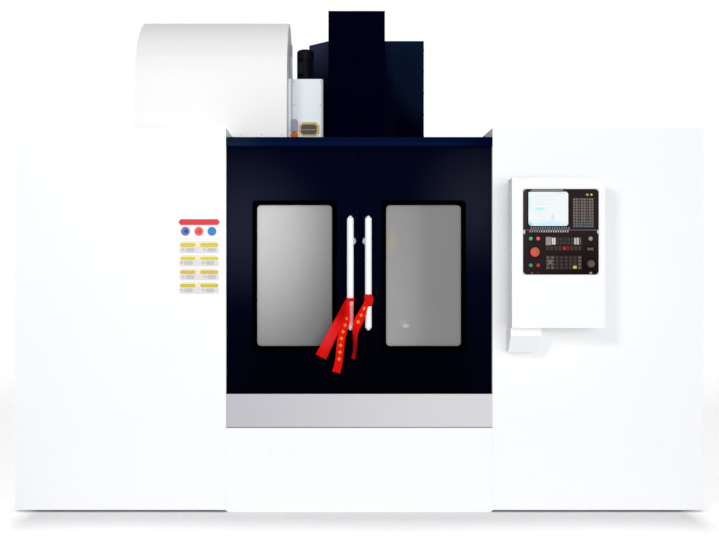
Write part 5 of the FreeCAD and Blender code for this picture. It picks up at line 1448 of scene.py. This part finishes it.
@dataclass
class Magazine:
    """The drum cover with the tool disc, its pots and the changer's cam box."""

    shop: Workshop
    pots: int = 16
    pot_circle: float = 360.0

    def build(self) -> None:
        """Paint the drum and changer, and add their fittings."""
        self.shop.dress(("magazine_cover", DRUM_WHITE, 1.0), ("magazine_disc", MOTOR_BLACK, 1.5),
                        ("swing_pot", MOTOR_BLACK, 1.2), ("atc_cam_box", COOL_WHITE, 2.0),
                        ("atc_shaft", BRIGHT_STEEL, 1.0), ("atc_arm", GROUND_STEEL, 1.6))
        self._build_bracket()
        self._build_cover_trim()
        self._build_disc_trim()
        self._build_motor()
        self._build_sight()
        self._build_arm_trim()

    def _build_bracket(self) -> None:
        """Box beam that carries the magazine, with its pad, bolts and the disc's shaft."""
        piece = self.shop.shape("bracket_beam")
        left, right, low, high = -545.0, -439.0, 2520.0, 2740.0
        piece.block((left, -420, low), (right, -210, high), COLUMN_NAVY, 3)
        for x0, x1, z0, z1 in ((left, left + 14, low, high), (right - 14, right, low, high),
                               (left + 13, right - 13, low, low + 16),
                               (left + 13, right - 13, high - 16, high)):
            piece.block((x0, -211, z0), (x1, 900, z1), COLUMN_NAVY)
        piece.block((right - 1, 520, 2440), (-340, 860, 2820), COLUMN_NAVY, 3)
        piece.rod((left + 1, AXIS_Y, DRUM_Z), Axis.LEFT, 31.2, 152.8, GROUND_STEEL, 2, 48)
        piece.screws([(x, y, 2820) for x in (-415, -365) for y in (550, 690, 830)], Axis.UP, 9, 6)
        piece.build("frame", ["magazine_bracket"], "bed_casting")

    def _build_cover_trim(self) -> None:
        """End bands, screws, cap sheet and filler strip of the drum cover, and the post on the beam."""
        piece = self.shop.shape("drum_trim")
        band = arc(499.2, 0, 180, 41) + arc(499.2 * 0.955, 180, 0, 41)
        for start, end in ((-1430.8, -1427.0), (-458.0, -454.0)):
            piece.prism(band, Axis.RIGHT, start, end, DRUM_WHITE)
        for x in spread(-1400, -485, 8):
            for y, axis in ((-800, Axis.FRONT), (200, Axis.BACK)):
                piece.screws([(x, y, 2322)], axis, 5.5, 3, DRUM_WHITE)
        # The cap sheet's slightly darker paint is painted shade on the drum's top.
        cap = arc(501.0, 22.1, 157.9, 37) + arc(499.6, 157.9, 22.1, 37)
        piece.prism(cap, Axis.RIGHT, -1429.0, -455.5, SHADED_DRUM_CAP)
        piece.block((-455.4, -500.0, 2306), (-438.6, -494.0, 2738), COOL_WHITE, 0.6)
        piece.build("frame")
        post = self.shop.shape("drum_post")
        for low, high, finish in ((2740, 2920, RIM_GREY), (2919, 3004, POST_BROWN)):
            post.block((-453, -312, low), (-438, -288, high), finish, 2)
        post.build("frame")

    def _build_disc_trim(self) -> None:
        """Pot mouths, pot backs, hub cap and screws on the tool disc."""
        piece = self.shop.shape("pot_mouths")
        for pot in range(1, self.pots):
            turn = math.radians(pot * 360 / self.pots)
            y = AXIS_Y + self.pot_circle * math.sin(turn)
            z = DRUM_Z - self.pot_circle * math.cos(turn)
            piece.ring((-795.0, y, z), Axis.LEFT, 45, 33, 5, ZINC, 28)
            piece.rod((-795.5, y, z), Axis.LEFT, 32, 1.5, BLACK_OXIDE, 0, 24)
            piece.rod((-654.5, y, z), Axis.RIGHT, 30, 8, ZINC, 2, 24)
        piece.rod((-654.5, AXIS_Y, DRUM_Z), Axis.RIGHT, 110, 10, BLACK_OXIDE, 3, 40)
        piece.screws([(-685, y, z) for y, z in around(AXIS_Y, DRUM_Z, 120, 6, 30)], Axis.LEFT, 9, 8)
        piece.build("magazine")

    def _build_motor(self) -> None:
        """Finned changer motor with its terminal box and fan hood."""
        piece = self.shop.shape("changer_motor")
        x, y, fins = -348.0, AXIS_Y, 28
        piece.rod((x, y, 2735), Axis.UP, 66, 16, CHANGER_BLACK, 3, 40)
        piece.rod((x, y, 2751), Axis.UP, 49, 160, CHANGER_BLACK, 0, 40)
        middle = Vector((x, y))
        for turn in range(fins):
            angle = 2 * math.pi * turn / fins
            out = Vector((math.cos(angle), math.sin(angle)))
            side = Vector((-out.y, out.x))
            corners = [middle + out * reach + side * half
                       for reach, half in ((48, 1.6), (57.8, 1.2), (57.8, -1.2), (48, -1.6))]
            piece.prism([tuple(corner) for corner in corners], Axis.UP, 2754, 2906, CHANGER_BLACK)
        piece.lathe((x, y, 2904), Axis.UP, [(58, 0), (58, 50), (51, 62), (18, 65)], CHANGER_BLACK, 40)
        for radius in (20, 31, 42):
            piece.ring((x, y, 2968.4), Axis.UP, radius, radius - 3, 1.0, BLACK_OXIDE, 32)
        piece.block((x - 55, y - 56, 2800), (x - 14, y - 36, 2880), CHANGER_BLACK, 3)
        piece.build("frame", ["atc_motor"], "motor_black")

    def _build_sight(self) -> None:
        """Oil sight with its tan rim, the orange filler and its breather, and the cam box's screws."""
        piece = self.shop.shape("oil_sight")
        front = -499.8
        rim = cut_corners(-383, -250, 2350, 2444, 22)
        hole = cut_corners(-372, -266, 2361, 2429, 14)
        for here in range(len(rim)):
            there = (here + 1) % len(rim)
            piece.prism([rim[here], rim[there], hole[there], hole[here]], Axis.BACK, -506, front, SIGHT_RIM)
        piece.prism(hole, Axis.BACK, -502.6, front, SIGHT_BROWN)
        piece.block((-368, -503.2, 2392), (-270, -502.4, 2395), SIGHT_RIM)
        filler = [(24, 0), (24, 14), (20, 20), (9, 22)]
        piece.lathe((-415, front, 2356), Axis.FRONT, filler, FILLER_ORANGE, 30)
        dome = [(-438, 2381), (-392, 2381), (-392, 2446), (-398, 2458), (-408, 2465), (-422, 2465),
                (-432, 2458), (-438, 2446)]
        piece.prism(dome, Axis.BACK, -516, front, BREATHER_LILAC, 3.0)
        piece.build("frame", ["atc_sight_window"], "sight_cover")
        trim = self.shop.shape("cam_box_trim")
        trim.screws([(x, -500, z) for x in (-420, -243) for z in (2560, 2718)], Axis.FRONT, 6, 3, COOL_WHITE)
        trim.ring((CHANGER_X, AXIS_Y, 2250.2), Axis.DOWN, 62, 37, 10, GROUND_STEEL, 40)
        trim.screws([(x, y, 2240.4) for x, y in around(CHANGER_X, AXIS_Y, 50, 8)], Axis.DOWN, 4.5, 4)
        trim.build("frame")

    def _build_arm_trim(self) -> None:
        """Clamp plungers and the hub's cap on the changer arm."""
        piece = self.shop.shape("arm_trim")
        piece.rod((CHANGER_X, AXIS_Y, 2112.4), Axis.DOWN, 46, 6, BLACK_OXIDE, 1.5, 36)
        piece.screws([(x, y, 2106.4) for x, y in around(CHANGER_X, AXIS_Y, 34, 6)], Axis.DOWN, 5, 4)
        for y in (-520, -80):
            piece.rod((CHANGER_X, y, 2112.4), Axis.DOWN, 12, 5, ZINC, 1, 24)
            piece.block((CHANGER_X - 17, y - 30, 2145.6), (CHANGER_X + 17, y + 30, 2149), BLACK_OXIDE, 1)
        piece.build("arm")


@dataclass
class Tower:
    """The column with its side cover, and the head with its cover, motor and spindle."""

    shop: Workshop
    motor_top: float = 3110.0

    def build(self) -> None:
        """Paint the castings and add their fittings."""
        self.shop.dress(("column", COLUMN_NAVY, 4.0), ("column_side_cover", SIDE_NAVY, 10.0),
                        ("head_cover", COVER_NAVY, 16.0), ("spindle_head", COLUMN_NAVY, 4.0),
                        ("spindle_motor", MOTOR_BLACK, 3.0), ("spindle", BRIGHT_STEEL, 0.8),
                        ("guide_rails", GROUND_STEEL, 0.8), ("x_guide_rails", GROUND_STEEL, 0.8),
                        ("x_ball_screw", BRIGHT_STEEL, 0.0), ("y_ball_screw", BRIGHT_STEEL, 0.0),
                        ("z_ball_screw", BRIGHT_STEEL, 0.0), ("axis_motors", MOTOR_BLACK, 2.0),
                        ("x_axis_motor", MOTOR_BLACK, 2.0))
        self._build_column_trim()
        self._build_nose()
        self._build_motor_trim()

    def _build_column_trim(self) -> None:
        """Plugs over the lifting holes, cover screws, clips and the cable duct on the column."""
        piece = self.shop.shape("column_trim")
        for x in (-250, 250):
            piece.rod((x, 1100, 3171), Axis.UP, 26, 8, BLACK_OXIDE, 2, 24)
        piece.screws([(543, y, z) for z in spread(2320, 3150, 6) for y in (510, 970)], Axis.RIGHT, 7, 4)
        piece.screws([(x, 1000, z) for x in (370, 515) for z in spread(2320, 3150, 5)], Axis.BACK, 7, 4)
        for z in spread(700, 2150, 9):
            piece.block((-341.5, 960, z), (-339, 1060, z + 20), BLACK_OXIDE, 0.6)
        piece.block((-372, 900, 1200), (-339, 960, 2420), NAVY, 3)
        piece.build("frame")

    def _build_nose(self) -> None:
        """Coolant ring, drive keys and nose screws round the spindle."""
        ring = self.shop.shape("coolant_ring")
        ring.ring((0, AXIS_Y, 2195), Axis.UP, 118, 92, 8, ZINC, 48)
        for near, far in zip(around(0, AXIS_Y, 105, 6, 30), around(0, AXIS_Y, 86, 6, 30)):
            foot, tip = Vector((*near, 2196)), Vector((*far, 2158))
            ring.pipe([foot, foot * 0.5 + tip * 0.5, tip], 5.0, COPPER)
            ring.lathe(tuple(foot), Axis.DOWN, [(10, 0), (10, 7), (6, 9)], ZINC, 20)
        ring.build("head")
        nose = self.shop.shape("spindle_nose")
        for sign in SIGNS:
            nose.slab(sign, 47, 66, (-308, 2148), (-292, 2156), BLACK_OXIDE, 1)
        nose.screws([(x, y, 2177) for x, y in around(0, AXIS_Y, 77, 9, 20)], Axis.DOWN, 5, 3)
        nose.build("spindle")

    def _build_motor_trim(self) -> None:
        """Fan grille, junction box and cooling ribs on the spindle motor."""
        piece = self.shop.shape("spindle_motor_trim")
        piece.rod((0, AXIS_Y, self.motor_top - 0.5), Axis.UP, 105, 14, MOTOR_BLACK, 3, 48)
        for radius in spread(30, 95, 6):
            piece.ring((0, AXIS_Y, self.motor_top + 13.2), Axis.UP, radius, radius - 4, 1.6, BLACK_OXIDE, 40)
        piece.block((-60, -176, 2900), (60, -120, 3040), MOTOR_BLACK, 4)
        for sign in SIGNS:
            for z in spread(2710, 3060, 16):
                piece.slab(sign, 124.5, 131, (-410, z), (-190, z + 8), MOTOR_BLACK, 1)
        piece.build("head")


@dataclass
class Interior:
    """Bed, saddle, table and the fittings inside the work space."""

    shop: Workshop

    def build(self) -> None:
        """Paint the castings and add table trim, gutters and the lamps."""
        self.shop.dress(("machine_bed", CAST_GREY, 4.0), ("levelling_feet", BLACK_OXIDE, 1.0),
                        ("saddle", CAST_GREY, 3.0), ("work_table", CAST_GREY, 3.0),
                        ("slotted_table_top", TABLE_STEEL, 1.2))
        self._build_table_trim()
        self._build_saddle_trim()
        self._build_lamps()

    def _build_table_trim(self) -> None:
        """Coolant gutters, end plates and screws round the table."""
        piece = self.shop.shape("table_trim")
        for y0, y1, lip in ((-668, -649.5, -668), (49.5, 68, 65)):
            piece.block((-698, y0, 1030), (698, y1, 1036), ZINC, 1)
            piece.block((-698, lip, 1036), (698, lip + 3, 1062), ZINC, 1)
        for sign in SIGNS:
            piece.slab(sign, 700.2, 702, (-640, 960), (40, 1026), CAST_GREY, 0.8)
        piece.screws([(x, -650, 992) for x in spread(-640, 640, 9)], Axis.FRONT, 7, 5)
        piece.build("table")

    def _build_saddle_trim(self) -> None:
        """Lubrication blocks with their unions on the saddle's front."""
        piece = self.shop.shape("saddle_trim")
        for x in spread(-420, 420, 5):
            piece.block((x - 30, -634, 700), (x + 30, -624.6, 726), ZINC, 1.5)
            for step in (-18, 0, 18):
                piece.rod((x + step, -634, 713), Axis.FRONT, 4.5, 9, COPPER, 1, 14)
        piece.build("saddle")

    def _build_lamps(self) -> None:
        """A sealed lamp in the front upper corner of each wing."""
        for side in Side:
            piece = self.shop.shape(side.word + "_work_lamp")
            x = side.value * 1100.0
            piece.rod((x - 190, -1128, 2235), Axis.RIGHT, 24, 380, MOTOR_BLACK, 4, 28)
            piece.rod((x - 170, -1118, 2228), Axis.RIGHT, 22, 340, LAMP_GLASS, 2, 28)
            for step in (-150, 150):
                piece.block((x + step - 14, -1140, 2235), (x + step + 14, -1116, 2263), ZINC, 2)
            piece.build("frame")


@dataclass
class Cabinet:
    """The electrical cabinet on the column's back, its door and main switch."""

    shop: Workshop
    door_face: float = 1445.6

    def build(self) -> None:
        """Paint the cabinet and add its hardware."""
        self.shop.dress(("electrical_cabinet", WHITE, 2.0), ("cabinet_door", WHITE, 2.0),
                        ("main_switch", MOTOR_BLACK, 0.8))
        self._build_door_trim()
        self._build_body_trim()

    def _build_door_trim(self) -> None:
        """Folds, latches, fan filter and the switch's ring on the door."""
        piece = self.shop.shape("cabinet_door_trim")
        for z in (408, 2086):
            piece.block((-436, 1445.2, z), (446, 1446.8, z + 6), WHITE, 0.5)
        for z in (700, 1250, 1850):
            piece.rod((405, self.door_face, z), Axis.BACK, 17, 4, BLACK_OXIDE, 1.2, 28)
            piece.rod((405, 1449.4, z), Axis.BACK, 10, 3, ZINC, 0.8, 24)
            piece.block((403.4, 1452.2, z - 8), (406.6, 1452.9, z + 8), BLACK_OXIDE)
        piece.block((-150, self.door_face, 560), (130, 1455, 840), MOTOR_BLACK, 3)
        for z in spread(580, 812, 12):
            louvre = [(1454.6, z), (1462, z + 2), (1462, z + 4), (1454.6, z + 14)]
            piece.prism(louvre, Axis.RIGHT, -132, 112, MOTOR_BLACK)
        piece.ring((250, 1445.7, 1750), Axis.BACK, 38, 31, 2.5, BLACK_OXIDE, 40)
        piece.build("cabinet_door")

    def _build_body_trim(self) -> None:
        """Side covers, vents and lifting rings on the cabinet."""
        piece = self.shop.shape("cabinet_trim")
        piece.block((-457, 1216, 640), (-449.6, 1400, 1180), WHITE, 1.5)
        for z in spread(670, 1140, 16):
            # Dark strips stand in for the shade in the vent's slots.
            piece.block((-458.2, 1236, z), (-456.4, 1380, z + 12), RUBBER_AND_SLOT_SHADE)
        piece.block((449.6, 1230, 1500), (462, 1390, 1780), WHITE, 2)
        for z in spread(1520, 1750, 9):
            # Dark strips stand in for the shade in the vent's slots.
            piece.block((461, 1246, z), (462.8, 1374, z + 12), RUBBER_AND_SLOT_SHADE)
        piece.screws([(x, 1300, 2100) for x in (-400, 400)], Axis.UP, 9, 6)
        for x in (-260, 260):
            piece.ring((x, 1290, 2100), Axis.UP, 26, 12, 8, ZINC, 28)
        piece.build("frame")


class Run(Enum):
    """The axis along which a folded cover is pulled out."""

    X = (1, 0, 0)
    Y = (0, 1, 0)
    Z = (0, 0, 1)


@dataclass(frozen=True)
class Cover:
    """One folded cover between two bodies."""

    name: str
    node: str
    run: Run
    start: float
    end: float
    width: float
    height: float
    base: float
    bodies: tuple[str, str]
    middle: float = 0.0
    pitch: float = 58.0
    fold: float = 14.0

    def section(self, tuck: float) -> list[Flat]:
        """Draw its round-cornered arch.

        Args:
            tuck: how far the section is drawn in.

        Returns:
            (across, up) points from one foot to the other.
        """
        half = self.width / 2 - tuck
        top = self.height - tuck
        corner = min(34.0, top * 0.5)
        points = [(-half, 0.0), (-half, (top - corner) * 0.5), (-half, top - corner)]
        for angle in (math.pi - step * math.pi / 8 for step in range(1, 5)):
            points.append((-half + corner + corner * math.cos(angle),
                           top - corner + corner * math.sin(angle)))
        flat = [(x, top) for x in spread(-half + corner, half - corner, 9)][1:-1]
        return points + flat + [(-x, z) for x, z in points[::-1]]

    def spot(self, across: float, up: float, along: float) -> Point:
        """Place a point of its section.

        Args:
            across: its distance from the section's middle.
            up: its height over the section's feet.
            along: where the section stands along the cover's run.

        Returns:
            Its place in mm.
        """
        if self.run is Run.X:
            return along, self.middle + across, self.base + up
        if self.run is Run.Y:
            return self.middle + across, along, self.base + up
        return self.middle + across, self.base - up, along


COVERS = (
    Cover("y_front_cover", "y_bellows", Run.Y, -1123.6, -625.6, 1036, 222, 563, ("frame", "saddle")),
    Cover("y_back_cover", "y_bellows", Run.Y, 25.6, 479.4, 1036, 222, 563, ("saddle", "frame")),
    Cover("x_left_cover", "x_bellows", Run.X, -1693.6, -700.6, 556, 126, 814, ("saddle", "table"), AXIS_Y),
    Cover("x_right_cover", "x_bellows", Run.X, 700.6, 1693.6, 556, 126, 814, ("table", "saddle"), AXIS_Y),
    Cover("z_cover", "z_bellows", Run.Z, 801, 2221, 636, 64, 478.6, ("frame", "head")),
)


@dataclass
class FoldedCovers:
    """Accordion covers, each lying between two bodies."""

    shop: Workshop
    fold_angle: float = 25.0

    def build(self) -> None:
        """Build every cover."""
        for cover in COVERS:
            self._build_cover(cover)

    def _build_cover(self, cover: Cover) -> None:
        """Fold one cover in place between its two bodies.

        Args:
            cover: its sizes and bodies.
        """
        length = cover.end - cover.start
        folds = max(int(round(length / cover.pitch)), 2)
        step = length / folds
        stations = []
        for base in (cover.start + length * fold / folds for fold in range(folds)):
            stations += [(base, cover.fold), (base + step * 0.46, 1.2), (base + step * 0.5, 0.0),
                         (base + step * 0.54, 1.2)]
        stations.append((cover.end, cover.fold))
        cloth = bmesh.new()
        rows = [[cloth.verts.new(Vector(cover.spot(across, up, along)) * MM)
                 for across, up in cover.section(tuck)] for along, tuck in stations]
        for before, row in zip(rows, rows[1:]):
            for near, far, near2, far2 in zip(before, row, before[1:], row[1:]):
                cloth.faces.new((near, near2, far2, far))
        bmesh.ops.recalc_face_normals(cloth, faces=cloth.faces)
        piece = place(cover.name, cloth, [self.shop.palette[COVER_CLOTH]], self.fold_angle)
        cover.bodies[0]
        cover.bodies[1]
        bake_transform(piece)
        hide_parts(cover.node)


@dataclass(frozen=True)
class Softbox:
    """One rectangular lamp, by its place and size in metres and the share of full light that it gives."""

    name: str
    place: Point
    size: Flat
    share: float
    in_gloss: bool


SOFTBOXES = (
    Softbox("key", (-1.9, -6.6, 3.6), (1.1, 1.1), 0.235, True),
    Softbox("front_fill", (3.4, -12.5, 2.2), (8.0, 5.0), 0.40, False),
)


@dataclass
class Studio:
    """Pale floor, white backdrop and soft lamps. Lengths are in metres."""

    palette: Palette
    target: Point = (0.0, -1.2, 1.4)
    front: Point = (0.0, -1.21, 0.0)
    fill: float = 0.41
    floor_lift: float = 0.5
    floor_half: float = 12.0

    def build(self) -> None:
        """Build the floor, world and lamps."""
        self._build_floor()
        self._build_world()
        for softbox in SOFTBOXES:
            self._build_softbox(softbox)
        bpy.context.scene.view_settings.view_transform = "Standard"

    def _floor_material(self) -> bpy.types.Material:
        """White to the camera, fading into the backdrop, still taking the machine's shadow, and with a
        painted contact shadow along the machine's front.

        Returns:
            The floor's material.
        """
        graph, material, shader = Graph.of_material("studio_floor")
        seen = graph.add("LightPath").outputs["Is Camera Ray"]
        patch = graph.use(self.palette.effects.spot, Reach=(9.0, 9.0, 9.0), Amount=2.2)["Mask"]
        # The lift's colour carries a painted contact shadow along the machine's front.
        graph.fill(shader, {"Base Color": (0.9, 0.9, 0.91, 1), "Roughness": 0.8, "Specular IOR Level": 0.1,
                            "Emission Color": self._painted_contact_shadow(graph),
                            "Emission Strength": graph.math("MULTIPLY", seen, self.floor_lift),
                            "Alpha": graph.math("MINIMUM", patch, 1.0)})
        return material

    def _painted_contact_shadow(self, graph: Graph) -> bpy.types.NodeSocket:
        """Paint a contact shadow along the machine's front: less of the floor's lift gets through there, so
        the floor's own lower light shows.

        Args:
            graph: the floor material's graph.

        Returns:
            The socket that gives the lift's colour.
        """
        masks = []
        for reach, amount in (((60.0, 0.7, 60.0), 1.1), ((2.17, 60.0, 60.0), 30.0)):
            spot = graph.use(self.palette.effects.spot, Middle=self.front, Reach=reach, Amount=amount)
            masks.append(graph.math("MINIMUM", spot["Mask"], 1.0))
        return graph.mix(graph.math("MULTIPLY", *masks), (1, 1, 1, 1), (0, 0, 0, 1))

    def _build_floor(self) -> None:
        """A wide pale floor that keeps the machine's shadow, with a painted contact shadow along the
        machine's front.
        """
        half = self.floor_half
        mesh = bpy.data.meshes.new("studio_floor")
        mesh.from_pydata([(-half, -half, 0), (half, -half, 0), (half, half, 0), (-half, half, 0)], [],
                         [(0, 1, 2, 3)])
        mesh.materials.append(self._floor_material())
        floor = bpy.data.objects.new("studio_floor", mesh)
        bpy.context.scene.collection.objects.link(floor)

    def _build_world(self) -> None:
        """White where the camera, gloss or glass shows the backdrop, and softer for the light itself."""
        world = bpy.data.worlds.new("studio")
        world.use_nodes = True
        bpy.context.scene.world = world
        world.node_tree.nodes.clear()
        graph = Graph(world.node_tree)
        path = graph.add("LightPath").outputs
        seen = path["Is Camera Ray"]
        for ray in ("Is Glossy Ray", "Is Transmission Ray"):
            seen = graph.math("MAXIMUM", seen, path[ray])
        soft, full = (graph.add("Background", {"Color": (1, 1, 1, 1), "Strength": strength}).outputs[0]
                      for strength in (self.fill, 1.0))
        mixed = graph.add("MixShader", {"Fac": seen, 1: soft, 2: full})
        graph.add("OutputWorld", {"Surface": mixed.outputs[0]})

    def _build_softbox(self, softbox: Softbox) -> None:
        """Hang one lamp and aim it at the machine's front.

        Args:
            softbox: its place, size and strength.
        """
        aim = Vector(self.target) - Vector(softbox.place)
        data = bpy.data.lights.new(softbox.name, "AREA")
        data.shape = "RECTANGLE"
        data.size, data.size_y = softbox.size
        data.energy = softbox.share * math.pi ** 2 * aim.length_squared
        lamp = bpy.data.objects.new(softbox.name, data)
        lamp.location = softbox.place
        lamp.rotation_mode = "QUATERNION"
        lamp.rotation_quaternion = aim.to_track_quat("-Z", "Y")
        lamp.visible_glossy = softbox.in_gloss
        lamp.visible_camera = False
        bpy.context.scene.collection.objects.link(lamp)


@dataclass
class View:
    """The camera that sees the machine as the photograph does, square on and slightly shifted."""

    location: Point = (-0.160, -7.220, 1.455)
    lens: float = 50.07
    shift: float = 0.0374

    def build(self) -> None:
        """Create the camera and make it the scene's own."""
        data = bpy.data.cameras.new("photo_camera")
        data.sensor_width = 36
        data.lens = self.lens
        data.shift_x = self.shift
        data.clip_start = 0.05
        data.clip_end = 200
        camera = bpy.data.objects.new("photo_camera", data)
        camera.location = self.location
        camera.rotation_euler = (math.pi / 2, 0.0, 0.0)
        bpy.context.scene.collection.objects.link(camera)
        bpy.context.scene.camera = camera


def main() -> None:
    """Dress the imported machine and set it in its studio."""
    logging.basicConfig(level=logging.INFO, format="%(name)s: %(message)s")
    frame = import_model()
    shop = Workshop(frame["nodes"], Palette())
    Enclosure(shop).build()
    Doorway(shop).build()
    for side in Side:
        SlidingDoor(shop, side).build()
        Ribbons(shop, side).build()
    ControlStation(shop).build()
    NoticePlate(shop).build()
    Magazine(shop).build()
    Tower(shop).build()
    Interior(shop).build()
    Cabinet(shop).build()
    FoldedCovers(shop).build()
    Studio(shop.palette).build()
    View().build()


if __name__ == "__main__":
    main()
